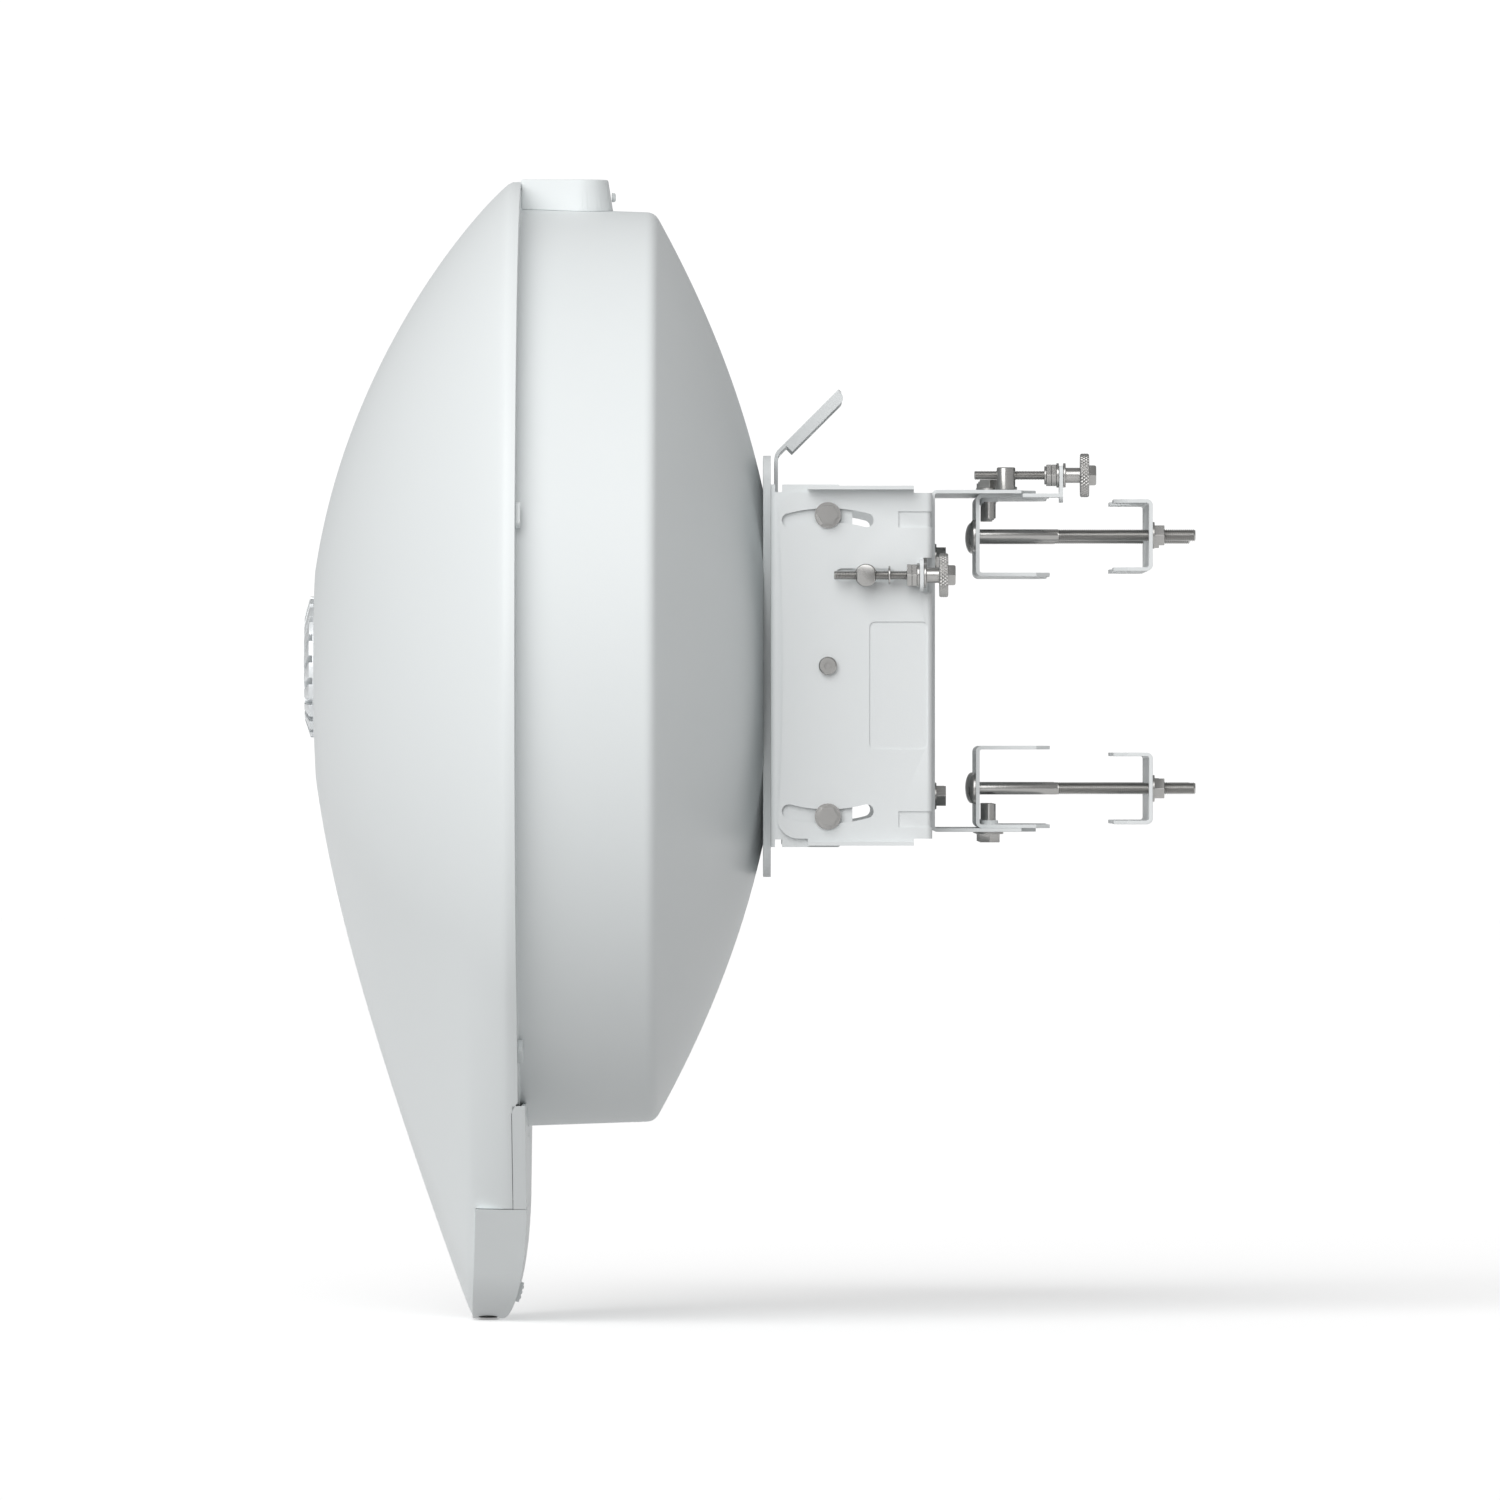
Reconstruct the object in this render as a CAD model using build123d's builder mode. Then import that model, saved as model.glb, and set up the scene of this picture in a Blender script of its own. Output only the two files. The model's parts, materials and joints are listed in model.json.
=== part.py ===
from build123d import *
import os
from math import asin, cos, radians, sin, sqrt, tan

# An outdoor wireless bridge: a 60 cm dish under a domed radome with a chin that holds the radio,
# carried by a fine-tuning mount that clamps to a vertical pole.
# Millimetres, +Z up, the dish looks towards -Y, the origin is on the pole's axis at boresight height.

# ---- driving dimensions: dish head -------------------------------------------------------------
rim_y = -369.2                 # plane where radome and drum meet
rim_radius = 320.0
band = 6.6                     # straight band of the radome before it starts to dome
dome_span = 134.4              # from the band to the dome's virtual apex
dome_power = 1.125
dome_depth = 136.0             # from the rim plane to the flat under the heat sink
chin_drop = 430.0              # boresight to the flat of the chin
chin_start, chin_taper = 1.57, 0.00325
chin_tip_share = 0.30          # tip radius of the teardrop, as a share of its round part
radome_wall = 3.0
cover_front = 4.0              # chin back cover's skirt, in front of the rim plane
chin_back = 4.6                # its flat back, behind the rim plane
chin_seam_top = -286.0

drum_front_radius, drum_rear_radius = 303.0, 300.0
drum_rear_y = -281.4
drum_corner = 5.5
drum_wall = 2.5
drum_flange_radius = 315.5
hub_y, hub_radius = -210.0, 117.0
fit = 0.3                      # gap between pieces that part or move

sink_radius, sink_height = 46.5, 7.0
sink_fins, sink_groove = 20, 4.2
feed_radius, feed_length = 41.0, 34.0
horn_radius, horn_length = 24.0, 22.0

port_top, port_front_y, port_slope = -355.0, -397.6, 4.3
port_curve = 18.0              # how far the port cover's back is swept forward at the bottom
port_wall = 2.6
latch_length, latch_width, latch_proud, latch_depth = 12.5, 30.0, 2.0, 4.0
latch_z, latch_press = -412.5, 1.5

gps_length, gps_width, gps_top, gps_base = 57.0, 64.0, 321.0, 300.2
tongue_width, tongue_length, tongue_top = 26.0, 16.0, 320.0
rim_fixing_angles = (18.0, 162.0, 234.0, 306.0)

# ---- driving dimensions: mount ----------------------------------------------------------------
sheet = 2.4
plate_thickness = 5.0
plate_half_height, plate_half_width, plate_corner = 138.0, 96.0, 16.0
pivot_y = -168.0               # elevation pivot, at boresight height
side_gap = 0.5                 # between the tilt bracket's cheeks and the pan bracket's
pan_half_width = 150.0
pan_front_y, pan_rear_y = -201.0, -100.0
pan_half_height, pan_corner, pan_hollow = 112.5, 14.0, 3.5
lip_out, lip_top = 10.0, 117.0
lip_front_y, lip_rear_y = -181.0, -112.0
tilt_half_height, tilt_rear_y, tilt_chamfer = 118.0, -152.0, 9.0
bend = 4.0                     # outside bend radius of the folded sheets
slot_arm, slot_width = 98.0, 9.0
elevation_range, azimuth_range = 15.0, 10.0
m6, m8 = 3.0, 4.0              # shank radii
running = 0.05                 # radial clearance of a shank that turns or slides
clear = 0.5                    # radial clearance of a bolt hole

rod_height, rod_offset = 58.8, 9.5
rod_front_y, nut_y = -164.0, -143.3
tab_y, wheel_y, hex_end_y = -107.0, -95.6, -85.0
nut_across, nut_base_radius, nut_pin_radius = 12.0, 7.3, 4.0
jam_nuts_length = 8.4
wheel_radius, wheel_thickness, knurls = 14.3, 5.8, 30

handle_half_width, handle_rise, handle_reach = 56.0, 140.0, 60.0
handle_flange, handle_neck = 7.6, 9.0

yoke_half_width, arm_top, arm_bottom, arm_rear_y = 97.0, 113.0, -106.0, -31.0
swing_y = -61.4                # azimuth pivot
swing_arm = 68.0               # azimuth clamp bolts from the pivot
fine_x = 86.0                  # azimuth fine screw
fine_nut_y, fine_front_y, fine_tab_y, fine_wheel_y, fine_end_y = -51.0, -71.7, -15.0, -2.5, 8.0
fine_height = 9.6              # its axis above the arm

jaw_half_width = 84.0
jaw_front_y, jaw_tip_y, jaw_height = -70.6, -22.1, 54.0
rear_tip_y, rear_web_y, rear_height = 19.7, 45.2, 47.0
rear_upper_z, rear_lower_z = 86.0, -80.0
pole_radius, vee_slope = 34.0, 27.5
tooth_pitch, tooth_depth = 4.6, 1.6
bolt_x, bolt_end_y = 66.0, 73.6
dome_head_radius, dome_head_height = 10.3, 5.0

os.makedirs("parts", exist_ok=True)


# ---- shared shapes ----------------------------------------------------------------------------
def facing_front(y):
    """Plane across the boresight at y: its x is +X, its y is +Z and its normal is -Y."""
    return Plane.XZ.offset(-y)


def facing_back(y):
    """The same plane with its normal to +Y; its x is -X and its y is +Z."""
    return Plane(origin=(0, y, 0), x_dir=(-1, 0, 0), z_dir=(0, 1, 0))


def save(name, piece):
    piece.label = name
    export_step(piece, f"parts/{name}.step")
    return piece


def dome_radius(depth):
    """Radius of the radome's round part at a depth in front of the rim plane."""
    share = max(depth - band, 0) / dome_span
    return rim_radius * sqrt(1 - share**dome_power)


def chin_reach(depth):
    """Drop of the radome's lowest line at the same depth: a tapering chin, cut flat below."""
    return min(chin_drop, dome_radius(depth) * (chin_start - chin_taper * depth))


def teardrop(face, radius, drop, tip):
    """Outline of a circle with a smaller round tip hanging below it, joined by tangent lines."""
    slope = asin((radius - tip) / (drop - tip))
    out, low = Vector(cos(slope), -sin(slope)), Vector(0, tip - drop)
    back = Vector(-cos(slope), -sin(slope))
    with BuildSketch(face) as outline:
        with BuildLine():
            upper = ThreePointArc(radius * back, (0, radius), radius * out)
            right = Line(upper @ 1, low + tip * out)
            lower = ThreePointArc(right @ 1, (0, -drop), low + tip * back)
            Line(lower @ 1, upper @ 0)
        make_face()
    return outline.sketch


def radome_section(depth, inset=0.0):
    """The radome's cross-section at a depth, drawn in by a wall's thickness."""
    radius = dome_radius(depth) - inset
    drop = max(chin_reach(depth) - inset, radius + 1)
    return teardrop(facing_front(rim_y - depth), radius, drop, chin_tip_share * radius)


corner_depth = 32.0            # where the chin's flat turns into its slope
barrel = (0.0, band, 18.0, corner_depth)
dome = (corner_depth, 55.0, 80.0, 104.0, 124.0, dome_depth)


def radome_form(inset, cap):
    """Radome's outer or inner form: a barrel with the flat chin, then the dome."""
    with BuildPart() as form:
        loft([radome_section(depth, inset) for depth in barrel])
        loft([radome_section(depth, inset) for depth in dome[:-1] + (dome_depth - cap,)])
    return form.part


def port_block(grow):
    """The side outline of the port cover, wide enough to cut the chin right through."""
    with BuildPart() as block:
        with BuildSketch(Plane.YZ):
            with BuildLine():
                back = rim_y + chin_back + 1
                top, floor = port_top + grow, -chin_drop - 5
                Polyline((back, top), (port_front_y - grow, top),
                         (port_front_y - port_slope - grow, floor), (back, floor), (back, top))
            make_face()
        extrude(amount=rim_radius, both=True)
    return block.part


def rear_sweep():
    """What the port cover's back loses: a long curve from its top edge forward to the floor."""
    back = rim_y + chin_back
    with BuildPart() as sweep_cut:
        with BuildSketch(Plane.YZ):
            with BuildLine():
                curve = EllipticalCenterArc((back - port_curve, port_top + 6), port_curve,
                                            chin_drop + port_top + 6, start_angle=270, arc_size=90)
                Polyline(curve @ 1, (back + 5, port_top + 6), (back + 5, -chin_drop - 5),
                         (back - port_curve, -chin_drop - 5), curve @ 0)
            make_face()
        extrude(amount=rim_radius, both=True)
    return sweep_cut.part


def flange_bolt(face, places, length, flange=8.8, head=6.2, across=13.0, radius=m8, nut=0.0):
    """Flange bolts in a plane: heads stand on it, shanks go below it, nuts hold from below."""
    with BuildPart() as bolts:
        for place in places:
            seat = Plane(origin=place, x_dir=face.x_dir, z_dir=face.z_dir)
            with BuildSketch(seat):
                Circle(flange)
            extrude(amount=1.6)
            with BuildSketch(seat.offset(1.6)):
                RegularPolygon(across / 2, 6, major_radius=False)
            extrude(amount=head)
            with BuildSketch(seat):
                Circle(radius)
            extrude(amount=-length)
            if nut:
                with BuildSketch(seat.offset(-nut)):
                    RegularPolygon(across / 2, 6, major_radius=False)
                extrude(amount=-min(6.5, length - nut - 1))
    return bolts.part


# ---- radome ----------------------------------------------------------------------------------
outer_form = radome_form(0.0, 0.0)
inner_form = radome_form(radome_wall, radome_wall)

with BuildPart() as radome_shell:
    add(outer_form)
    add(inner_form, mode=Mode.SUBTRACT)
    with BuildSketch(facing_front(rim_y)):
        Circle(sink_radius + fit)
    extrude(amount=dome_depth + 20, mode=Mode.SUBTRACT)
    add(port_block(fit), mode=Mode.SUBTRACT)
    with Locations((0, rim_y, (chin_seam_top - chin_drop) / 2)):
        Box(2 * rim_radius, 2 * (cover_front + fit), chin_drop + chin_seam_top, mode=Mode.SUBTRACT)
    # the tongue that hooks over the top of the drum
    with BuildSketch(facing_back(rim_y - 4)):
        with Locations((0, (tongue_top + gps_base + 9) / 2)):
            Rectangle(tongue_width, tongue_top - gps_base - 9)
    extrude(amount=tongue_length + 4)
save("radome_shell", radome_shell.part)

# ---- chin: back cover, port cover and its latch ------------------------------------------------
back_y = rim_y + chin_back
rim_drop, rim_tip = chin_drop, chin_tip_share * rim_radius
with BuildPart() as lobe_back_cover:
    skirt = facing_back(rim_y - cover_front)
    extrude(teardrop(skirt, rim_radius, rim_drop, rim_tip), amount=chin_back + cover_front)
    extrude(teardrop(skirt, rim_radius - radome_wall, rim_drop - radome_wall, rim_tip),
            amount=chin_back + cover_front - port_wall, mode=Mode.SUBTRACT)
    with BuildSketch(facing_back(rim_y - cover_front)):
        Circle(drum_flange_radius + fit)
    extrude(amount=cover_front + fit, mode=Mode.SUBTRACT)
    with BuildSketch(facing_back(rim_y)):
        Circle(drum_front_radius + fit)
    extrude(amount=chin_back, mode=Mode.SUBTRACT)
    with Locations((0, rim_y, rim_radius + chin_seam_top)):
        Box(3 * rim_radius, 60, 2 * rim_radius, mode=Mode.SUBTRACT)
    with Locations((0, rim_y, port_top + fit - 100)):
        Box(3 * rim_radius, 60, 200, mode=Mode.SUBTRACT)
    with BuildSketch(facing_back(rim_y)):  # drain slot under the drum
        with Locations((0, -drum_front_radius - 6)):
            SlotOverall(22, 3)
    extrude(amount=chin_back, mode=Mode.SUBTRACT)
save("lobe_back_cover", lobe_back_cover.part)

sweep_axis = Vector(0, back_y - port_curve, port_top + 6)
sweep_drop = chin_drop + port_top + 6
latch_turn = asin((sweep_axis.Z - latch_z) / sweep_drop)
latch_seat = Plane(origin=sweep_axis + Vector(0, port_curve * cos(latch_turn),
                                              -sweep_drop * sin(latch_turn)),
                   x_dir=(-1, 0, 0),
                   z_dir=(0, cos(latch_turn) / port_curve, -sin(latch_turn) / sweep_drop))
with BuildPart() as port_cover:
    extrude(teardrop(facing_front(back_y), rim_radius, rim_drop, rim_tip), amount=60)
    add(port_block(0), mode=Mode.INTERSECT)
    add(rear_sweep(), mode=Mode.SUBTRACT)
    with BuildSketch(Plane.XY.offset(port_top)):  # room for the plugs
        with Locations((0, (port_front_y + back_y - port_curve) / 2 + 8)):
            Rectangle(110, back_y - port_curve - port_front_y + 6)
    extrude(amount=-(chin_drop + port_top - 22), mode=Mode.SUBTRACT)
    with BuildSketch(Plane.XY.offset(-chin_drop)):  # cable exit
        with Locations((0, rim_y - 22)):
            SlotOverall(44, 13)
    extrude(amount=60, mode=Mode.SUBTRACT)
    with BuildSketch(latch_seat.offset(-latch_depth - latch_press - fit)):  # pocket of the latch
        RectangleRounded(latch_width + 2 * fit, latch_length + 2 * fit, 3)
    extrude(amount=40, mode=Mode.SUBTRACT)
save("port_cover", port_cover.part)

with BuildPart() as port_cover_latch:
    with BuildSketch(latch_seat.offset(-latch_depth)):
        RectangleRounded(latch_width, latch_length, 2.7)
    extrude(amount=latch_depth + latch_proud)
    with BuildSketch(latch_seat.offset(latch_proud)):  # finger ribs
        with GridLocations(0, 3.4, 1, 3):
            Rectangle(latch_width - 8, 1.2)
    extrude(amount=0.6)
save("port_cover_latch", port_cover_latch.part)

# ---- radio inside the chin --------------------------------------------------------------------
board_y, board_top, board_bottom = rim_y - 16.0, -250.0, -338.0
with BuildPart() as main_board:
    with BuildSketch(facing_back(board_y)):
        with Locations((0, (board_top + board_bottom) / 2)):
            RectangleRounded(150, board_top - board_bottom, 4)
        with Locations((0, (board_top + board_bottom) / 2)):
            with GridLocations(138, board_top - board_bottom - 12, 2, 2):
                Circle(1.7, mode=Mode.SUBTRACT)
    extrude(amount=1.6)
    for x, z, wide, tall, proud in ((-30, -272, 24, 24, 2.2), (18, -270, 14, 14, 1.4),
                                    (46, -272, 18, 12, 1.2), (-52, -310, 10, 18, 6)):
        with BuildSketch(facing_back(board_y)):
            with Locations((-x, z)):
                Rectangle(wide, tall)
        extrude(amount=-proud)
save("main_board", main_board.part)


def socket(name, x, wide, deep, tall, hole_wide, hole_deep):
    """A jack on the board's front side that opens downward."""
    with BuildPart() as jack:
        with Locations((x, board_y - deep / 2, board_bottom + tall / 2 - 2)):
            Box(wide, deep, tall)
        with Locations((x, board_y - deep / 2, board_bottom - 2 + tall * 0.4)):
            Box(hole_wide, hole_deep, tall * 0.8, mode=Mode.SUBTRACT)
    save(name, jack.part)


socket("rj45_jack", -46, 16.5, 13.6, 21, 11.8, 8.2)
socket("sfp_cage", -16, 15.4, 9.8, 46, 13.8, 8.4)
with BuildPart() as dc_jack:
    with Locations((18, board_y - 6, board_bottom + 6)):
        Box(12, 12, 16)
    with BuildSketch(Plane.XY.offset(board_bottom - 2)):
        with Locations((18, board_y - 6)):
            Circle(4)
            Circle(1.2, mode=Mode.SUBTRACT)
    extrude(amount=12, mode=Mode.SUBTRACT)
save("dc_jack", dc_jack.part)

with BuildPart() as cable_seal:
    with BuildSketch(Plane.XY.offset(-chin_drop + 1)):
        with Locations((0, rim_y - 22)):
            SlotOverall(43.4, 12.4)
            with GridLocations(14.5, 0, 3, 1):
                Circle(2.6, mode=Mode.SUBTRACT)
    extrude(amount=14)
save("cable_seal", cable_seal.part)

# ---- drum: dish and shroud in one drawn piece ---------------------------------------------------
def dish_y(radius, inset=0.0):
    """Back of the dish at a radius: a paraboloid through the hub's edge and the drum's corner."""
    rise = (drum_rear_y - hub_y) / (drum_rear_radius**2 - hub_radius**2)
    return hub_y + rise * (radius**2 - hub_radius**2) - inset


def dish_half(inset):
    """Half section of the dish, from the axis to the drum's front edge."""
    hub = (hub_radius, dish_y(hub_radius, inset))
    middle = (drum_rear_radius + hub_radius) / 2
    edge = (drum_rear_radius - inset, dish_y(drum_rear_radius, inset))
    front = (drum_front_radius - inset, rim_y + (inset and -1))
    with BuildSketch(Plane.XY) as half:
        with BuildLine():
            Line((0, hub_y - inset), hub)
            ThreePointArc(hub, (middle, dish_y(middle, inset)), edge)
            Line(edge, front)
            Polyline(front, (0, front[1]), (0, hub_y - inset))
        make_face()
        corner = half.vertices().sort_by_distance(edge)[0]
        fillet(corner, drum_corner - inset)
    return half.sketch


with BuildPart() as reflector_drum:
    revolve(dish_half(0), axis=Axis.Y)
    with BuildSketch(facing_front(rim_y)):
        Circle(drum_flange_radius)
    extrude(amount=2)
    revolve(dish_half(drum_wall), axis=Axis.Y, mode=Mode.SUBTRACT)
    with BuildSketch(facing_front(rim_y + 1)):
        Circle(drum_front_radius - drum_wall)
    extrude(amount=4, mode=Mode.SUBTRACT)
    with BuildSketch(facing_back(hub_y - 10)):
        with GridLocations(140, 160, 2, 2):
            Circle(m8 + clear)
    extrude(amount=20, mode=Mode.SUBTRACT)
    with Locations((0, rim_y, gps_top)):  # notch in the flange for the radome's tongue
        Box(tongue_width + 2 * fit, 8, 2 * (gps_top - gps_base - 9 + fit), mode=Mode.SUBTRACT)
save("reflector_drum", reflector_drum.part)

# ---- feed behind the front heat sink ------------------------------------------------------------
apex_y = rim_y - dome_depth
with BuildPart() as feed_heat_sink:
    with BuildSketch(facing_front(apex_y + 4)):
        Circle(sink_radius)
    extrude(amount=sink_height + 4)
    chamfer(feed_heat_sink.edges().sort_by(Axis.Y)[0], sink_height - 3.5, sink_height + 4)
    with BuildSketch(facing_front(apex_y - 1.2)):  # swirled fins, open at the rim
        with PolarLocations(38, sink_fins):
            SlotOverall(36, sink_groove, rotation=32)
    extrude(amount=sink_height + 2, mode=Mode.SUBTRACT)
save("feed_heat_sink", feed_heat_sink.part)

feed_back_y = apex_y + 4 + feed_length
with BuildPart() as feed_housing:
    with BuildSketch(facing_back(apex_y + 4)):
        Circle(feed_radius)
    extrude(amount=feed_length)
    chamfer(feed_housing.edges().sort_by(Axis.Y)[-1], 5)
    with BuildSketch(facing_back(apex_y + 4)):
        Circle(feed_radius - 3)
    extrude(amount=feed_length - 3, mode=Mode.SUBTRACT)
    with BuildSketch(facing_back(feed_back_y - 4)):
        Circle(horn_radius - 6)
    extrude(amount=8, mode=Mode.SUBTRACT)
    with BuildSketch(facing_back(feed_back_y)):
        with PolarLocations(feed_radius - 8, 4, 45):
            Circle(1.8)
    extrude(amount=-4, mode=Mode.SUBTRACT)
save("feed_housing", feed_housing.part)

with BuildPart() as feed_board:
    with BuildSketch(facing_back(apex_y + 14)):
        Circle(feed_radius - 3.6)
    extrude(amount=1.6)
    with BuildSketch(facing_front(apex_y + 14)):
        Rectangle(22, 22)
    extrude(amount=9.8)
save("feed_board", feed_board.part)

with BuildPart() as feed_horn:
    throat, mouth = horn_radius - 12, horn_radius
    neck_y, mouth_y = feed_back_y - 3, feed_back_y + horn_length
    with BuildSketch(Plane.XY):
        with BuildLine():
            Polyline((5, apex_y + 15.6), (throat, apex_y + 15.6), (horn_radius - 6.4, neck_y),
                     (horn_radius - 6.4, feed_back_y), (mouth, mouth_y), (mouth - 2, mouth_y), close=True)
        make_face()
    revolve(axis=Axis.Y)
save("feed_horn", feed_horn.part)

# ---- top of the drum: antenna housing and its knob ----------------------------------------------
gps_back_y, gps_draft, gps_nose = rim_y + gps_length, 9.0, 24.0
gps_foot = gps_base - 6
with BuildPart() as gps_housing:
    spread = (gps_top - gps_foot) * tan(radians(gps_draft))
    with BuildSketch(Plane.XY.offset(gps_foot)) as gps_plan:
        with Locations((0, (rim_y - 20 + gps_back_y + spread) / 2)):
            Rectangle(gps_width + 2 * spread, gps_length + 20 + spread)
        fillet(gps_plan.vertices().group_by(Axis.Y)[-1], gps_nose)
    extrude(amount=gps_top - gps_foot, taper=gps_draft)
    with Locations((0, rim_y - 20, gps_top)):
        Box(2 * gps_width, 40, 80, mode=Mode.SUBTRACT)
    with BuildSketch(facing_back(rim_y)):
        Circle(drum_front_radius + 0.02)
    with BuildSketch(facing_back(drum_rear_y)):
        Circle(drum_rear_radius + 0.02)
    loft(mode=Mode.SUBTRACT)
    with Locations((0, rim_y + tongue_length / 2, gps_top - 5)):
        Box(tongue_width + 2 * fit, tongue_length + 2 * fit, 14, mode=Mode.SUBTRACT)
save("gps_housing", gps_housing.part)

knob_z, knob_radius = 310.0, 3.0
knob_y = gps_back_y + (gps_top - knob_z) * tan(radians(gps_draft))
with BuildPart() as gps_knob:
    with BuildSketch(facing_back(knob_y + 0.6)):
        with Locations((0, knob_z)):
            Circle(knob_radius)
    extrude(amount=2.6)
    chamfer(gps_knob.faces().sort_by(Axis.Y)[-1].edges(), 0.8)
save("gps_knob", gps_knob.part)

with BuildPart() as rim_latches:
    for angle in rim_fixing_angles:
        spot = Plane(origin=(309.5 * cos(radians(angle)), rim_y, 309.5 * sin(radians(angle))),
                     x_dir=(-sin(radians(angle)), 0, cos(radians(angle))), z_dir=(0, 1, 0))
        with BuildSketch(spot):
            RectangleRounded(16, 9, 2)
        extrude(amount=3.4)
save("rim_latches", rim_latches.part)

# ---- mount: plate, tilt bracket and hoist handle on the dish --------------------------------------
plate_rear_y = hub_y + plate_thickness
with BuildPart() as mounting_plate:
    with BuildSketch(facing_back(hub_y)):
        RectangleRounded(2 * plate_half_width, 2 * plate_half_height, plate_corner)
        with GridLocations(140, 160, 2, 2):
            Circle(m8 + clear, mode=Mode.SUBTRACT)
        with Locations((-40, 99), (40, 99)):
            Circle(m6 + clear, mode=Mode.SUBTRACT)
    extrude(amount=plate_thickness)
save("mounting_plate", mounting_plate.part)


def folded(face, path, thickness, height, inner_side=Side.LEFT, radius=bend):
    """Bent sheet: its outer line filleted at the bends, thickened inward and extruded."""
    with BuildPart() as piece:
        with BuildSketch(face):
            with BuildLine():
                FilletPolyline(*path, radius=radius)
                offset(amount=thickness, side=inner_side)
            make_face()
        extrude(amount=height)
    return piece.part


def arc_slot(centre, radius, start, size, width):
    """A curved slot in the sketch being drawn."""
    with BuildLine() as middle:
        CenterArc(centre, radius, start, size)
    SlotArc(middle.wire(), width)


tilt_half_width = pan_half_width - sheet - side_gap
slot_middle_y = nut_y - 0.6    # evens out the straight slot's error at both ends of the tilt
with BuildPart() as tilt_bracket:
    add(folded(Plane.XY.offset(-tilt_half_height),
               ((-tilt_half_width, tilt_rear_y), (-tilt_half_width, plate_rear_y),
                (tilt_half_width, plate_rear_y), (tilt_half_width, tilt_rear_y)),
               sheet, 2 * tilt_half_height, Side.LEFT))
    with BuildSketch(Plane.YZ):  # relief notches beside the bends
        with GridLocations(0, 2 * tilt_half_height, 1, 2):
            with Locations((plate_rear_y + 5, 0)):
                Rectangle(4.5, 10)
    extrude(amount=2 * tilt_half_width, both=True, mode=Mode.SUBTRACT)
    chamfer(tilt_bracket.edges().filter_by(Axis.X).group_by(Axis.Y)[-1], tilt_chamfer)
    with BuildSketch(Plane.YZ):
        with Locations((pivot_y, 0)):
            Circle(m8 + running)
            with GridLocations(0, 2 * slot_arm, 1, 2):
                Circle(m8)
        with Locations((slot_middle_y, rod_height + 2)):
            SlotOverall(25, 2 * nut_pin_radius + 1.9, rotation=90)
    extrude(amount=2 * tilt_half_width, both=True, mode=Mode.SUBTRACT)
    with BuildSketch(facing_back(plate_rear_y)):
        with GridLocations(140, 160, 2, 2):
            Circle(m8 + clear)
        with Locations((-40, 99), (40, 99)):
            Circle(m6 + clear)
        RectangleRounded(90, 110, 12)
    extrude(amount=sheet, mode=Mode.SUBTRACT)
save("tilt_bracket", tilt_bracket.part)

handle_y = plate_rear_y + sheet
lean = handle_reach / sqrt(2)
handle_path = ((handle_y, 86), (handle_y, handle_rise), (handle_y + lean, handle_rise + lean))
with BuildPart() as hoist_handle:
    add(folded(Plane.YZ.offset(-handle_half_width), handle_path, sheet, 2 * handle_half_width,
               Side.RIGHT, bend + 5))
    fillet(hoist_handle.edges().filter_by(GeomType.LINE).group_by(Axis.Z)[-1].filter_by(Axis.X, True)
           + hoist_handle.edges().filter_by(lambda edge: edge.center().Z > handle_rise + lean - 4
                                            and edge.length < 2 * sheet), 16)
    grip = Plane(origin=(0, handle_y + lean / 2, handle_rise + lean / 2),
                 x_dir=(1, 0, 0), z_dir=(0, 1, -1))
    with BuildSketch(grip):  # hand slot
        with Locations((0, -2)):
            SlotOverall(84, 24)
    extrude(amount=20, both=True, mode=Mode.SUBTRACT)
    slope = Plane(origin=(0, handle_y, handle_rise), x_dir=(0, 1, 1), z_dir=(1, 0, 0))
    for start in (-handle_half_width, handle_half_width - sheet):  # stiffening flanges
        with BuildSketch(slope.offset(start)) as flange:
            with Locations(((handle_neck + handle_reach - 1) / 2, -handle_flange / 2)):
                Rectangle(handle_reach - 1 - handle_neck, handle_flange)
            fillet(flange.vertices().group_by(Axis.X)[-1].sort_by(Axis.Y)[0], 5)
        extrude(amount=sheet)
    with BuildSketch(facing_back(handle_y)):
        with Locations((-40, 99), (40, 99)):
            Circle(m6 + clear)
    extrude(amount=sheet, mode=Mode.SUBTRACT)
save("hoist_handle", hoist_handle.part)

with BuildPart() as handle_bolts:
    add(flange_bolt(facing_back(handle_y + sheet), [(x, handle_y + sheet, 99) for x in (-40, 40)],
                    9.0, flange=6.6, head=4.4, across=10.0, radius=m6))
save("handle_bolts", handle_bolts.part)

with BuildPart() as hub_bolts:
    add(flange_bolt(facing_back(handle_y), [(x, handle_y, z) for x in (-70, 70) for z in (-80, 80)],
                    sheet + plate_thickness + drum_wall + 8,
                    nut=sheet + plate_thickness + drum_wall))
save("hub_bolts", hub_bolts.part)

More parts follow.
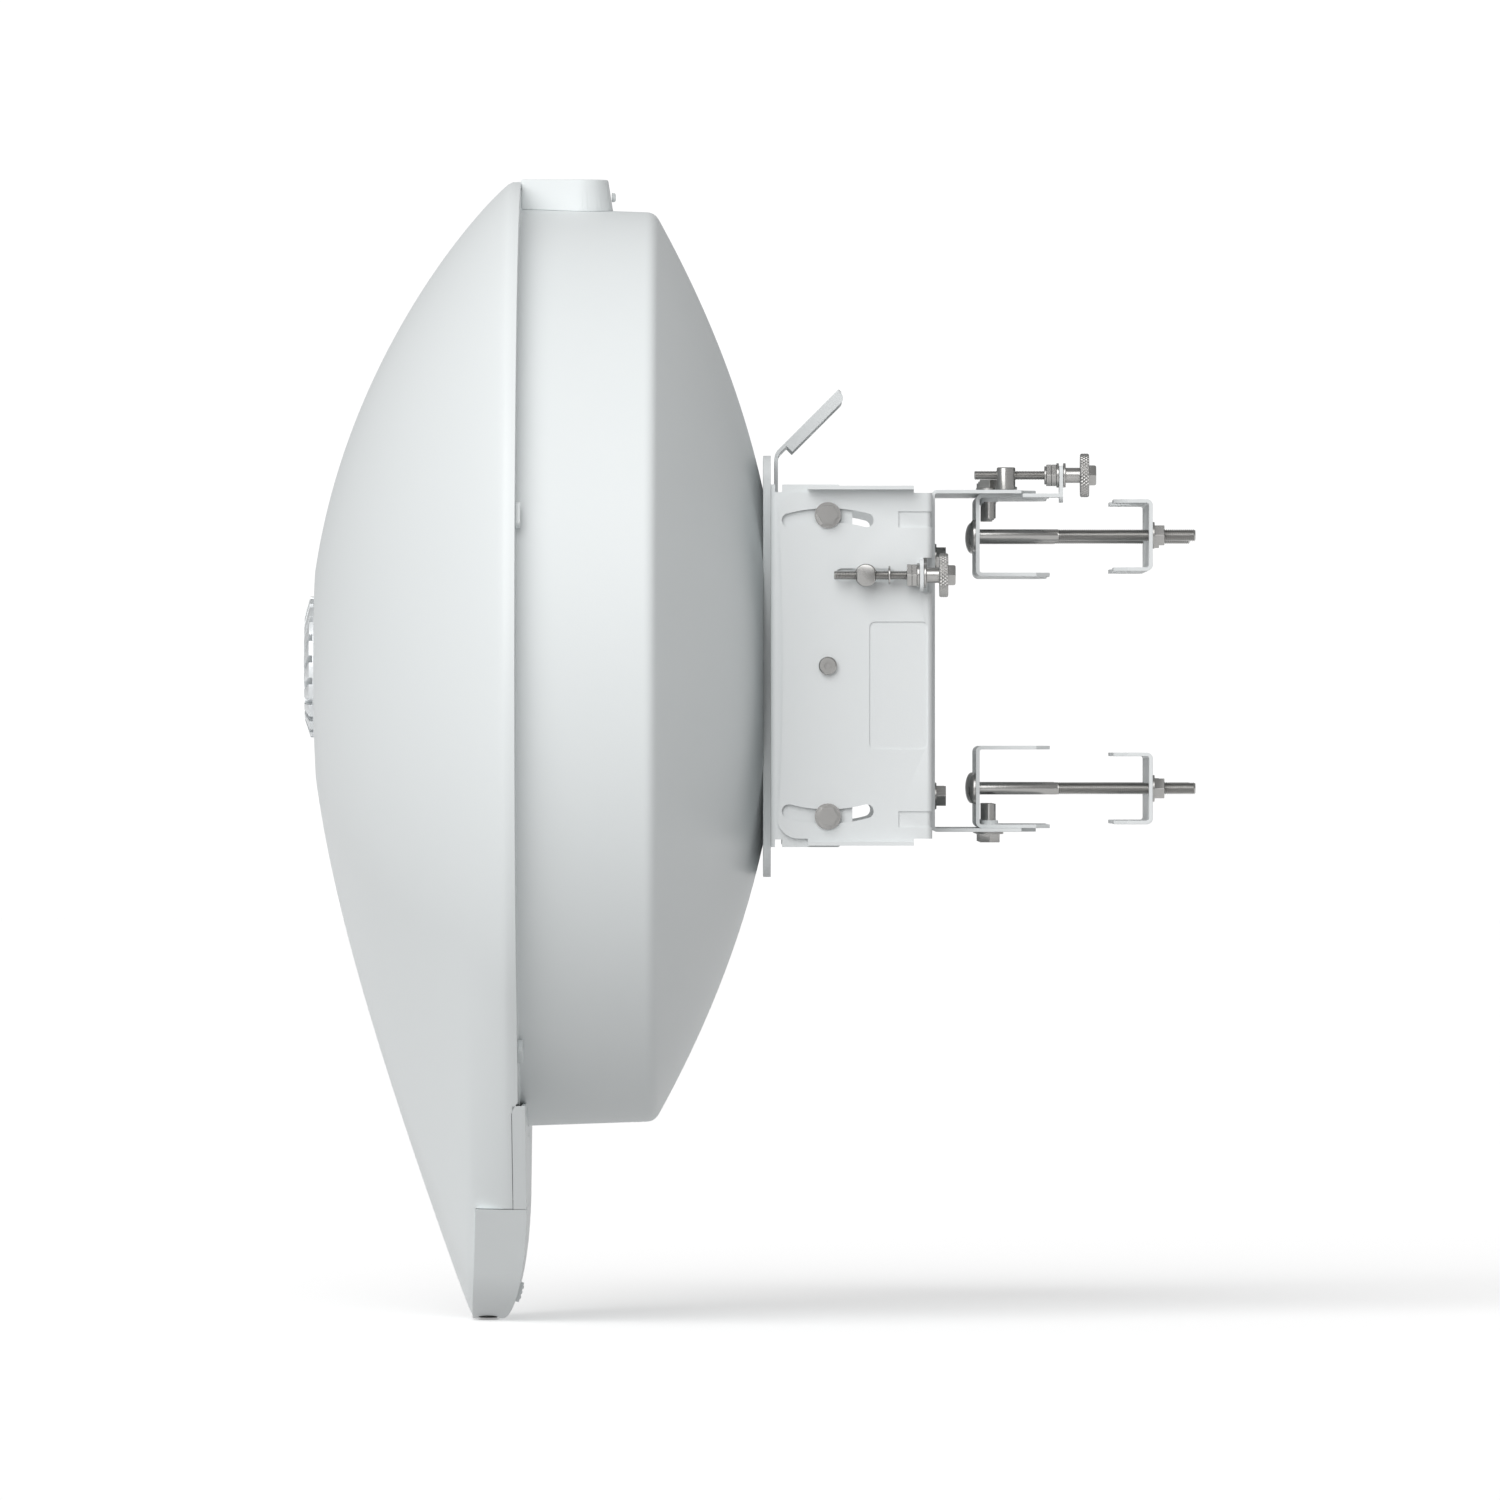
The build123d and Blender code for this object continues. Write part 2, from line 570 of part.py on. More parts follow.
# ---- mount: pan bracket ------------------------------------------------------------------------
travel = rod_height * radians(elevation_range)
with BuildPart() as pan_bracket:
    add(folded(Plane.XY.offset(-pan_half_height),
               ((-pan_half_width, pan_front_y), (-pan_half_width, pan_rear_y),
                (pan_half_width, pan_rear_y), (pan_half_width, pan_front_y)),
               sheet, 2 * pan_half_height, Side.RIGHT))
    fillet(pan_bracket.edges().filter_by(Axis.X).group_by(Axis.Y)[0], pan_corner)
    hollow_radius = (pan_half_height**2 + pan_hollow**2) / (2 * pan_hollow)
    with BuildSketch(Plane.YZ):  # the front edges are slightly hollow
        with Locations((pan_front_y + pan_hollow - hollow_radius, 0)):
            Circle(hollow_radius)
    extrude(amount=2 * pan_half_width, both=True, mode=Mode.SUBTRACT)
    for end in (-1, 1):  # lips bent outward along the top and bottom edges
        for side in (-1, 1):
            with Locations((side * (pan_half_width + lip_out / 2 - sheet / 2), (lip_front_y + lip_rear_y) / 2,
                            end * (lip_top - sheet / 2))):
                Box(lip_out + sheet, lip_rear_y - lip_front_y, sheet)
            with Locations((side * (pan_half_width - sheet / 2), (lip_front_y + lip_rear_y) / 2,
                            end * (pan_half_height + lip_top - sheet) / 2)):
                Box(sheet, lip_rear_y - lip_front_y, lip_top - sheet - pan_half_height)
    with BuildSketch(Plane.YZ):
        with Locations((pivot_y, 0)):
            Circle(m8 + clear)
        for start in (90, 270):
            arc_slot((pivot_y, 0), slot_arm, start - elevation_range, 2 * elevation_range, slot_width)
    extrude(amount=2 * pan_half_width, both=True, mode=Mode.SUBTRACT)
    with BuildSketch(Plane.YZ):
        with Locations((nut_y, rod_height)):
            SlotOverall(2 * (travel + nut_pin_radius + clear), slot_width)
    extrude(amount=2 * pan_half_width, mode=Mode.SUBTRACT)
    window = (tab_y + sheet / 2, pan_rear_y + 1)   # where the tab was folded out, round the bend
    with Locations((pan_half_width - 8, sum(window) / 2, rod_height)):
        Box(18, window[1] - window[0], 23, mode=Mode.SUBTRACT)
    with BuildSketch(facing_back(tab_y - sheet / 2)):  # tab that holds the fine screw
        with Locations((-pan_half_width - 8, rod_height)):
            RectangleRounded(20, 21, 5)
        with Locations((-pan_half_width, rod_height)):
            Rectangle(2 * sheet, 21)
        with Locations((-pan_half_width - rod_offset, rod_height)):
            Circle(m6 + running, mode=Mode.SUBTRACT)
    extrude(amount=sheet)
    # coined panel and beads, in the outer faces and round the rear bends
    for side in (-1, 1):
        with BuildSketch(Plane.YZ.offset(side * pan_half_width)):
            with Locations((-122, -12.8)):
                RectangleRounded(38, 83, 4)
        extrude(amount=-side * 0.9, mode=Mode.SUBTRACT)
        for middle in (95.2, -99.9):
            with BuildSketch(Plane.XY.offset(middle - 5.2)):
                with BuildLine():
                    FilletPolyline((side * pan_half_width, -122), (side * pan_half_width, pan_rear_y),
                                   (side * (pan_half_width - 24), pan_rear_y), radius=bend)
                    offset(amount=1.0, side=Side.RIGHT if side < 0 else Side.LEFT)
                make_face()
            extrude(amount=10.4, mode=Mode.SUBTRACT)
    with BuildSketch(facing_back(pan_rear_y)):  # holes for the yoke and a weight-saving window
        for height in (72, -85):
            with Locations((40, height), (-40, height)):
                Circle(m8 + clear)
        RectangleRounded(150, 96, 14)
    extrude(amount=-sheet, mode=Mode.SUBTRACT)
save("pan_bracket", pan_bracket.part)

with BuildPart() as elevation_pivot_bolts:
    for side in (-1, 1):
        cheek = Plane(origin=(side * pan_half_width, pivot_y, 0), x_dir=(0, 1, 0), z_dir=(side, 0, 0))
        with BuildSketch(cheek):
            Circle(5.9)
        extrude(amount=4.2)
        rims = elevation_pivot_bolts.edges().filter_by(GeomType.CIRCLE).sort_by(Axis.X)
        chamfer(rims[0 if side < 0 else -1], 0.8)
        with BuildSketch(cheek.offset(4.2)):
            RegularPolygon(2.6, 6)
        extrude(amount=-2.4, mode=Mode.SUBTRACT)
        with BuildSketch(cheek):
            Circle(m8)
        extrude(amount=-16)
        with BuildSketch(cheek.offset(-2 * sheet - side_gap - 0.4)):
            RegularPolygon(6.5, 6, major_radius=False)
        extrude(amount=-6.5)
save("elevation_pivot_bolts", elevation_pivot_bolts.part)


def side_bolts(side):
    """The two elevation clamp bolts of one cheek, fixed in the tilt bracket."""
    cheek = Plane(origin=(side * pan_half_width, pivot_y, 0), x_dir=(0, 1, 0), z_dir=(side, 0, 0))
    places = [(side * pan_half_width, pivot_y, z) for z in (-slot_arm, slot_arm)]
    return flange_bolt(cheek, places, 17.0, flange=8.5, head=4.4, across=11.5,
                       nut=2 * sheet + side_gap)


with BuildPart() as elevation_clamp_bolts:
    add(side_bolts(-1))
    add(side_bolts(1))
save("elevation_clamp_bolts", elevation_clamp_bolts.part)


# ---- yoke between the pan bracket and the pole clamp ----------------------------------------------
arm_trim_y = -41.0
with BuildPart() as pan_yoke:
    add(folded(Plane.YZ.offset(-yoke_half_width),
               ((arm_rear_y, arm_top + sheet), (pan_rear_y, arm_top + sheet),
                (pan_rear_y, arm_bottom - sheet), (arm_rear_y, arm_bottom - sheet)),
               sheet, 2 * yoke_half_width, Side.LEFT))
    with BuildSketch(Plane.XY.offset(arm_bottom - sheet)):
        with Locations((0, swing_y)):
            Circle(m8 + running)
        for start in (0, 180):
            arc_slot((0, swing_y), swing_arm, start - azimuth_range, 2 * azimuth_range, slot_width)
        for side in (-1, 1):  # the arms' rear corners are cut back to clear the jaw's tab
            with BuildLine():
                Polyline((side * 60, arm_rear_y + 1), (side * 72, arm_trim_y),
                         (side * (yoke_half_width + 1), arm_trim_y),
                         (side * (yoke_half_width + 1), arm_rear_y + 1), close=True)
            make_face()
    extrude(amount=arm_top - arm_bottom + 2 * sheet, mode=Mode.SUBTRACT)
    with BuildSketch(Plane.XY.offset(arm_top)):
        with Locations((fine_x + 1.4, fine_nut_y)):
            SlotOverall(2 * nut_pin_radius + 5.6, 2 * nut_pin_radius + 1.2)
    extrude(amount=sheet, mode=Mode.SUBTRACT)
    with BuildSketch(facing_back(pan_rear_y)):
        for height in (72, -85):
            with Locations((40, height), (-40, height)):
                Circle(m8 + clear)
        RectangleRounded(120, 96, 14)
    extrude(amount=sheet, mode=Mode.SUBTRACT)
save("pan_yoke", pan_yoke.part)

with BuildPart() as yoke_bolts:
    yoke_seat = pan_rear_y + sheet
    add(flange_bolt(facing_back(yoke_seat), [(x, yoke_seat, z) for x in (-40, 40) for z in (72, -85)],
                    2 * sheet + 9, nut=2 * sheet))
save("yoke_bolts", yoke_bolts.part)

# ---- pole clamp: toothed jaws, their bolts and the azimuth bolts ---------------------------------


def vee(apex_y, tip_y):
    """Toothed V that grips the pole, from its apex on the axis out past the flanges' tips."""
    toward = 1 if tip_y > apex_y else -1
    run = (tip_y - apex_y) * toward / sin(radians(vee_slope))
    along = Vector(cos(radians(vee_slope)), toward * sin(radians(vee_slope)))
    into = Vector(along.Y * toward, -along.X * toward) * tooth_depth
    corners = [Vector(0, apex_y)]
    for tooth in range(int(run / tooth_pitch)):
        start = Vector(0, apex_y) + along * tooth_pitch * (tooth + 0.25)
        corners += [start, start + along * tooth_pitch / 2 + into, start + along * tooth_pitch * 0.75]
    corners += [Vector(0, apex_y) + along * (run + 4)]
    points = [(corner.X, corner.Y) for corner in corners]
    mirrored = [(-x, y) for x, y in reversed(points[1:])]
    with BuildSketch(Plane.XY.offset(-200)) as opening:
        with BuildLine():
            Polyline(*points, *mirrored, close=True)
        make_face()
    return opening.sketch


def jaw(tip_y, web_y, low, high, apex_y, side):
    """A C-shaped jaw: a web across the pole and two toothed flanges."""
    with BuildPart() as channel:
        add(folded(Plane.YZ.offset(-jaw_half_width),
                   ((tip_y, low), (web_y, low), (web_y, high), (tip_y, high)),
                   sheet, 2 * jaw_half_width, side))
        extrude(vee(apex_y, tip_y), amount=400, mode=Mode.SUBTRACT)
        corners = channel.edges().filter_by(Axis.Z).filter_by(
            lambda edge: abs(edge.center().Y - tip_y) < 0.1 and abs(edge.center().X) > jaw_half_width - 1)
        chamfer(corners, 9)
    return channel.part


pole_reach = pole_radius / cos(radians(vee_slope))
upper_low, lower_high = arm_top - jaw_height, arm_bottom + jaw_height


def front_jaw(name, low, high, flange_z, inward):
    """Front jaw: square holes for the carriage bolts and collars for the azimuth bolts."""
    bolt_z = rear_upper_z if inward < 0 else rear_lower_z
    with BuildPart() as piece:
        add(jaw(jaw_tip_y, jaw_front_y, low, high, -pole_reach, Side.RIGHT))
        with BuildSketch(facing_back(jaw_front_y)):
            with Locations((-bolt_x, bolt_z), (bolt_x, bolt_z)):
                Rectangle(2 * m8 + 0.4, 2 * m8 + 0.4)
        extrude(amount=sheet, mode=Mode.SUBTRACT)
        collar = Plane.XY.offset(flange_z + inward * sheet)
        places = [(x, swing_y) for x in (-swing_arm, 0, swing_arm)]
        with BuildSketch(collar):
            with Locations(*places):
                Circle(5.5)
        extrude(amount=inward * 2.7)
        if inward < 0:  # ear and upright tab that hold the azimuth fine screw
            with Locations((fine_x - 2, fine_tab_y - 12, flange_z - sheet / 2)):
                Box(24, 24 + sheet, sheet)
            with BuildSketch(facing_back(fine_tab_y - sheet / 2)):
                with Locations((-fine_x + 2, flange_z + sheet + fine_height / 2 - 1)):
                    RectangleRounded(24, 24, 5)
            extrude(amount=sheet)
            with BuildSketch(facing_back(fine_tab_y - sheet / 2)):
                with Locations((-fine_x, flange_z + sheet + fine_height)):
                    Circle(m6 + running)
            extrude(amount=sheet, mode=Mode.SUBTRACT)
        with BuildSketch(Plane.XY.offset(flange_z)):
            with Locations(*places):
                Circle(m8)
        extrude(amount=inward * 6, mode=Mode.SUBTRACT)
    return save(name, piece.part)


front_jaw("upper_front_jaw", upper_low, arm_top, arm_top, -1)
front_jaw("lower_front_jaw", arm_bottom, lower_high, arm_bottom, 1)


def rear_clamp(level, centre):
    """Rear jaw with its flange nuts, and the carriage bolts that it slides on."""
    places = [(side * bolt_x, rear_web_y, centre) for side in (-1, 1)]
    with BuildPart() as piece:
        add(jaw(rear_tip_y, rear_web_y, centre - rear_height / 2, centre + rear_height / 2,
                pole_reach, Side.LEFT))
        with BuildSketch(facing_back(rear_web_y)):
            with Locations(*[(x, z) for x, _, z in places]):
                Circle(m8 + clear)
        extrude(amount=-sheet, mode=Mode.SUBTRACT)
    save(f"{level}_rear_jaw", piece.part)
    with BuildPart() as nuts:
        for place in places:
            with BuildSketch(Plane(origin=place, x_dir=(-1, 0, 0), z_dir=(0, 1, 0))):
                Circle(8.8)
                Circle(m8 + running, mode=Mode.SUBTRACT)
            extrude(amount=1.6)
            with BuildSketch(Plane(origin=place, x_dir=(-1, 0, 0), z_dir=(0, 1, 0))):
                RegularPolygon(6.5, 6, major_radius=False)
                Circle(m8 + running, mode=Mode.SUBTRACT)
            extrude(amount=8)
    save(f"{level}_clamp_nuts", nuts.part)
    with BuildPart() as bolts:
        for x, _, z in places:
            seat = Plane(origin=(x, jaw_front_y, z), x_dir=(1, 0, 0), z_dir=(0, -1, 0))
            with BuildSketch(seat):
                Circle(dome_head_radius)
            head = extrude(amount=dome_head_height)
            chamfer(head.edges().group_by(Axis.Y)[0], dome_head_height - 1, dome_head_radius - 4.5)
            with BuildSketch(seat):
                Rectangle(2 * m8, 2 * m8)
            extrude(amount=-5.6)
            with BuildSketch(seat):
                Circle(m8)
            extrude(amount=jaw_front_y - bolt_end_y)
            chamfer(bolts.edges().group_by(Axis.Y)[-1], 0.8)
    save(f"{level}_carriage_bolts", bolts.part)


rear_clamp("upper", rear_upper_z)
rear_clamp("lower", rear_lower_z)


def arm_bolts(xs):
    """Flange bolts through both arms into the front jaws' collars."""
    length = sheet + 16
    with BuildPart() as piece:
        for z, up in ((arm_top + sheet, 1), (arm_bottom - sheet, -1)):
            add(flange_bolt(Plane(origin=(0, 0, z), x_dir=(1, 0, 0), z_dir=(0, 0, up)),
                            [(x, swing_y, z) for x in xs], length, flange=9.0, head=5.4))
    return piece.part


save("azimuth_pivot_bolts", arm_bolts([0]))
save("azimuth_clamp_bolts", arm_bolts([-swing_arm, swing_arm]))

# ---- fine screws -----------------------------------------------------------------------------


def on_rod(x, z, steps, bore=m6):
    """Coaxial pieces along +Y; each step is (start, end, radius across flats, sides or 0)."""
    with BuildPart() as pieces:
        for start, end, radius, sides in steps:
            with BuildSketch(Plane(origin=(x, start, z), x_dir=(1, 0, 0), z_dir=(0, 1, 0))):
                if sides:
                    RegularPolygon(radius, sides, major_radius=False)
                else:
                    Circle(radius)
                if bore:
                    Circle(bore, mode=Mode.SUBTRACT)
            extrude(amount=end - start)
    return pieces.part


def fine_screw(name, x, z, front, tab, wheel, end, clip):
    """Threaded rod with what turns with it: clip, jam nuts, washers, sleeve, wheel and hex end."""
    before, after = tab - sheet / 2, tab + sheet / 2
    save(f"{name}_screw", on_rod(x, z, [(front, end - 5, m6, 0)], 0))
    save(f"{name}_clip", on_rod(x, z, [(clip - 0.6, clip + 0.6, 6.0, 0)]))
    save(f"{name}_jam_nuts", on_rod(x, z, [(before - jam_nuts_length, before - 5.2, 7.0, 6),
                                           (before - 5.1, before - 1.9, 7.0, 6)]))
    save(f"{name}_washers", on_rod(x, z, [(before - 1.8, before - 0.2, 8.0, 0),
                                          (after + 0.2, after + 1.8, 8.0, 0)]))
    save(f"{name}_sleeve", on_rod(x, z, [(after + 1.8, wheel, 5.0, 0)]))
    with BuildPart() as thumbwheel:
        with BuildSketch(Plane(origin=(x, wheel, z), x_dir=(1, 0, 0), z_dir=(0, 1, 0))):
            Circle(wheel_radius)
            with PolarLocations(wheel_radius + 0.35, knurls):
                Circle(0.9, mode=Mode.SUBTRACT)
            Circle(m6, mode=Mode.SUBTRACT)
        extrude(amount=wheel_thickness)
        with BuildSketch(Plane(origin=(x, wheel + wheel_thickness, z), x_dir=(1, 0, 0), z_dir=(0, 1, 0))):
            RegularPolygon(6.5, 6, major_radius=False)
            Circle(m6, mode=Mode.SUBTRACT)
        extrude(amount=end - wheel - wheel_thickness)
    save(f"{name}_wheel", thumbwheel.part)


def swivel_nut(name, seat, standing, pin, screw_height, flats):
    """Nut across a fine screw: base flange, body with two flats, and the pin that follows the slot."""
    with BuildPart() as nut:
        with BuildSketch(seat):
            Circle(nut_base_radius)
        extrude(amount=1.8)
        with BuildSketch(seat):
            Circle(nut_base_radius)
            Rectangle(nut_across, 4 * nut_across, rotation=flats, mode=Mode.INTERSECT)
        extrude(amount=standing)
        chamfer(nut.faces().sort_by(Axis(seat.origin, seat.z_dir))[-1].edges(), 0.6)
        with BuildSketch(seat):
            Circle(nut_pin_radius)
        extrude(amount=-pin)
        with BuildSketch(Plane(origin=seat.origin + seat.z_dir * screw_height, x_dir=(1, 0, 0),
                               z_dir=(0, 1, 0))):
            Circle(m6 + running)
        extrude(amount=nut_across, both=True, mode=Mode.SUBTRACT)
    save(name, nut.part)


fine_screw("elevation", pan_half_width + rod_offset, rod_height, rod_front_y, tab_y, wheel_y,
           hex_end_y, -128.0)
swivel_nut("elevation_nut", Plane(origin=(pan_half_width + fit, nut_y, rod_height), x_dir=(0, 1, 0),
                                  z_dir=(1, 0, 0)),
           16.0, 2 * sheet + side_gap + 2 * fit, rod_offset - fit, 0)
arm_seat = arm_top + sheet
fine_screw("azimuth", fine_x, arm_seat + fine_height, fine_front_y, fine_tab_y, fine_wheel_y,
           fine_end_y, fine_tab_y - sheet / 2 - jam_nuts_length - 0.7)
swivel_nut("azimuth_nut", Plane(origin=(fine_x, fine_nut_y, arm_seat + fit), x_dir=(1, 0, 0),
                                z_dir=(0, 0, 1)),
           14.5, sheet, fine_height - fit, 90)
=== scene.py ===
# %% [markdown]
# # An outdoor wireless bridge on its pole mount
# The object is a 60 cm dish antenna under a domed plastic radome. A chin below the dish holds the radio,
# and a mount of folded steel sheet clamps it all to a pole, with two fine screws for aiming.
# The frame already has every part at its true size. This lesson gives those parts their final surfaces:
# smooth mouldings, softened sheet edges, real screw threads, and finishes made of shader maths.

# %% Load the frame
import json
import math

import bmesh
import bpy
import numpy as np
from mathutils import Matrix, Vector


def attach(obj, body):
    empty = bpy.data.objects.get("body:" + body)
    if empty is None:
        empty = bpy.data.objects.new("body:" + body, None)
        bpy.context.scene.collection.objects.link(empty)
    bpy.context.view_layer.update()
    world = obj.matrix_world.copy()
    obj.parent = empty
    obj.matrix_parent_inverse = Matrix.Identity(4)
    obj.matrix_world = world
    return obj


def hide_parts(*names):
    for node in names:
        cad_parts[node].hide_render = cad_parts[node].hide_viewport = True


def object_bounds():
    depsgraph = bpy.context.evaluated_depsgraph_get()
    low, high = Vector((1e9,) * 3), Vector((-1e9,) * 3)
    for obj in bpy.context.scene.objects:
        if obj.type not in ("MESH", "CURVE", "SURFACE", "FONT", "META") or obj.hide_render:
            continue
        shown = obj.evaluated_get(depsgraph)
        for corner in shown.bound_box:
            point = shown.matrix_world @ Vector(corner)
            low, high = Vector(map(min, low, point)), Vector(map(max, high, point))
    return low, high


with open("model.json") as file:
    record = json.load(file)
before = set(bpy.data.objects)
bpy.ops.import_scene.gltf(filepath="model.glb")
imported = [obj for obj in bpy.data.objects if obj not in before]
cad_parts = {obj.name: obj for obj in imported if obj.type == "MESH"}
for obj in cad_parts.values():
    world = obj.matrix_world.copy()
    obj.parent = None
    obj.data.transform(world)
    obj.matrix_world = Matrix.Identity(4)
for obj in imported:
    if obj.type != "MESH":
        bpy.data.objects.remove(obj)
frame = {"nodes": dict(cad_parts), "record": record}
cad_low, cad_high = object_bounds()
MM = 0.001
print("object's box, mm:", [round(v / MM) for v in cad_high - cad_low])

# %% [markdown]
# ## Shader maths as plain expressions
# A finish is a formula: roughness is a base value plus a little noise, a bump is a height over the
# surface. Blender writes such formulas as Math nodes and links. Wiring them by hand hides the formula, so
# one small class wraps a socket and lets Python's own operators add the nodes.


# %% A socket that can be used in arithmetic
class Field:
    """A value over the surface. a + b, a * b and so on add the Math node that works it out."""

    def __init__(self, tree, socket):
        self.tree, self.socket = tree, socket

    def node(self, kind, values=None, output=0, **settings):
        """Add a node: settings first, then values or links by socket name or number."""
        made = self.tree.nodes.new(kind)
        for name, value in settings.items():
            if name == "stops":
                ramp = made.color_ramp.elements
                for place, (at, colour) in enumerate(value):
                    stop = ramp[place] if place < 2 else ramp.new(at)
                    stop.position, stop.color = at, colour
            else:
                setattr(made, name, value)
        for place, value in (values or {}).items():
            if isinstance(value, Field):
                self.tree.links.new(value.socket, made.inputs[place])
            else:
                made.inputs[place].default_value = value
        return Field(self.tree, made.outputs[output])

    def maths(self, operation, *values):
        return self.node("ShaderNodeMath", dict(enumerate(values)), operation=operation)

    def __add__(self, other):
        return self.maths("ADD", self, other)

    def __sub__(self, other):
        return self.maths("SUBTRACT", self, other)

    def __rsub__(self, other):
        return self.maths("SUBTRACT", other, self)

    def __mul__(self, other):
        return self.maths("MULTIPLY", self, other)

    __radd__, __rmul__ = __add__, __mul__

    def clamped(self, low=0.0, high=1.0):
        """The value held between two numbers."""
        return self.maths("MINIMUM", self.maths("MAXIMUM", self, low), high)

    def mixed(self, first, second):
        """Colour that goes from first to second as this value goes from 0 to 1."""
        return self.node("ShaderNodeMix", {0: self, 6: first, 7: second}, 2, data_type="RGBA")


def grain(place, scale, detail=3.0, roughness=0.55):
    """Noise from 0 to 1; scale is the number of its bumps in a metre."""
    return place.node("ShaderNodeTexNoise",
                      {"Vector": place, "Scale": scale, "Detail": detail, "Roughness": roughness})


def finish(name, base, recipe, **constants):
    """Principled material. Constants go on the shader's sockets; recipe returns what varies."""
    material = bpy.data.materials.new(name)
    material.use_nodes = True
    tree = material.node_tree
    shader = tree.nodes["Principled BSDF"]
    shader.inputs["Base Color"].default_value = (*base, 1.0)
    for socket, value in constants.items():
        shader.inputs[socket.replace("_", " ")].default_value = value
    place = Field(tree, tree.nodes.new("ShaderNodeTexCoord").outputs["Object"])
    for socket, value in recipe(place).items():
        tree.links.new(value.socket, shader.inputs[socket])
    return material


def bumped(height, distance, strength=1.0):
    """Surface normal of a height field; distance is its full height in metres."""
    return height.node("ShaderNodeBump",
                       {"Height": height, "Distance": distance, "Strength": strength})


print("shader helper ready")

# %% [markdown]
# ## The finishes
# Radome plastic is matt and slightly silky, so its noise is very fine and shallow. Powder coat has a
# rounder, coarser skin called orange peel. Stainless fasteners are turned and plated: their roughness
# changes in streaks. Each finish is one formula for what varies and a few constants for what doesn't.

# %% Plastics and powder coats
WHITE, LIGHTER_WHITE = (0.80, 0.835, 0.84), (0.815, 0.845, 0.85)
COAT, LIGHTER_COAT = (0.735, 0.76, 0.765), (0.75, 0.77, 0.775)


def moulded_white(place):
    """Roughness 0.38 to 0.46 and a slight mottle in broad soft clouds, over a fine spark-eroded grain."""
    clouds = grain(place, 9.0, 2.0)
    fine = grain(place, 2600.0, 2.0)
    return {"Roughness": clouds * 0.08 + 0.38, "Normal": bumped(fine, 12e-6),
            "Base Color": (clouds * 0.6 + 0.2).clamped().mixed((*WHITE, 1), (*LIGHTER_WHITE, 1))}


def orange_peel(colour, lighter):
    """Powder coat: rounded dimples about 1 mm across, with a slight mottle in colour."""

    def recipe(place):
        peel = grain(place, 900.0, 1.0, 0.4)
        mottle = grain(place, 30.0, 3.0)
        return {"Roughness": peel * 0.10 + 0.40, "Normal": bumped(peel, 30e-6),
                "Base Color": mottle.mixed((*colour, 1), (*lighter, 1))}
    return recipe


white_plastic = finish("white_plastic", WHITE, moulded_white, Specular_IOR_Level=0.42)
painted_dish = finish("painted_dish", WHITE, orange_peel(WHITE, LIGHTER_WHITE),
                      Specular_IOR_Level=0.40)
coated_steel = finish("coated_steel", COAT, orange_peel(COAT, LIGHTER_COAT),
                      Specular_IOR_Level=0.45)
print("white finishes:", white_plastic.name, painted_dish.name, coated_steel.name)


# %% Metals, boards and rubber
def turned_steel(base):
    """Plated metal: fine streaks stretched along Y, the way most of the bolts lie, and duller clouds."""

    def recipe(place):
        stretched = place.node("ShaderNodeMapping", {"Vector": place, "Scale": (1500.0, 120.0, 1500.0)})
        streaks = grain(stretched, 1.0, 2.0)
        clouds = grain(place, 140.0, 3.0)
        return {"Roughness": streaks * 0.05 + clouds * 0.05 + 0.20, "Normal": bumped(streaks, 1e-6),
                "Base Color": clouds.mixed((*base, 1), (*(c * 0.94 for c in base), 1))}
    return recipe


def blasted(place):
    """Bead-blasted casting: a dense, sharp grain."""
    beads = grain(place, 3200.0, 4.0, 0.7)
    return {"Roughness": beads * 0.2 + 0.42, "Normal": bumped(beads, 25e-6)}


def solder_mask(place):
    """Green lacquer over copper: tracks show as a faint relief between the cells of a square mosaic."""
    tracks = place.node("ShaderNodeTexVoronoi", {"Vector": place, "Scale": 260.0}, distance="MANHATTAN")
    shade = (tracks * 1.4).clamped()
    return {"Base Color": shade.mixed((0.02, 0.10, 0.05, 1), (0.04, 0.18, 0.09, 1)),
            "Normal": bumped(shade, 35e-6)}


STEEL, TIN = (0.41, 0.405, 0.395), (0.70, 0.69, 0.65)
stainless = finish("stainless", STEEL, turned_steel(STEEL), Metallic=1.0)
cast_aluminium = finish("cast_aluminium", (0.74, 0.76, 0.77), blasted, Metallic=0.9)
dark_plastic = finish("dark_plastic", (0.03, 0.03, 0.033), moulded_white, Specular_IOR_Level=0.4)
circuit_board = finish("circuit_board", (0.03, 0.14, 0.07), solder_mask, Roughness=0.3)
plated_shield = finish("plated_shield", TIN, turned_steel(TIN), Metallic=1.0)
seal_rubber = finish("seal_rubber", (0.02, 0.02, 0.02), blasted, Specular_IOR_Level=0.3)
FINISHES = {"white_plastic": white_plastic, "painted_dish": painted_dish, "coated_steel": coated_steel,
            "stainless": stainless, "cast_aluminium": cast_aluminium, "dark_plastic": dark_plastic,
            "circuit_board": circuit_board, "plated_shield": plated_shield, "seal_rubber": seal_rubber}
print("finishes:", ", ".join(FINISHES))

# %% [markdown]
# ## Surfaces from arrays
# Most smooth pieces here are a function of two parameters: round the dish and along its depth, or round a
# bolt and along its length. Such a function gives an array of points, rows by columns, and the quads join
# each point to its neighbours. The helpers below turn arrays into meshes and put them on their node.

# %% Meshes from arrays, and their place in the frame
SLOT = {entry["node"]: entry["material_slot"] for entry in frame["record"]["subparts"]}
BODY = {node: body for body, nodes in frame["record"]["behaviour"]["bodies"].items() for node in nodes}
SAME_POINT, WALL_EDGE, WALL_EDGE_ANGLE = 1e-7, 0.4 * MM, 50


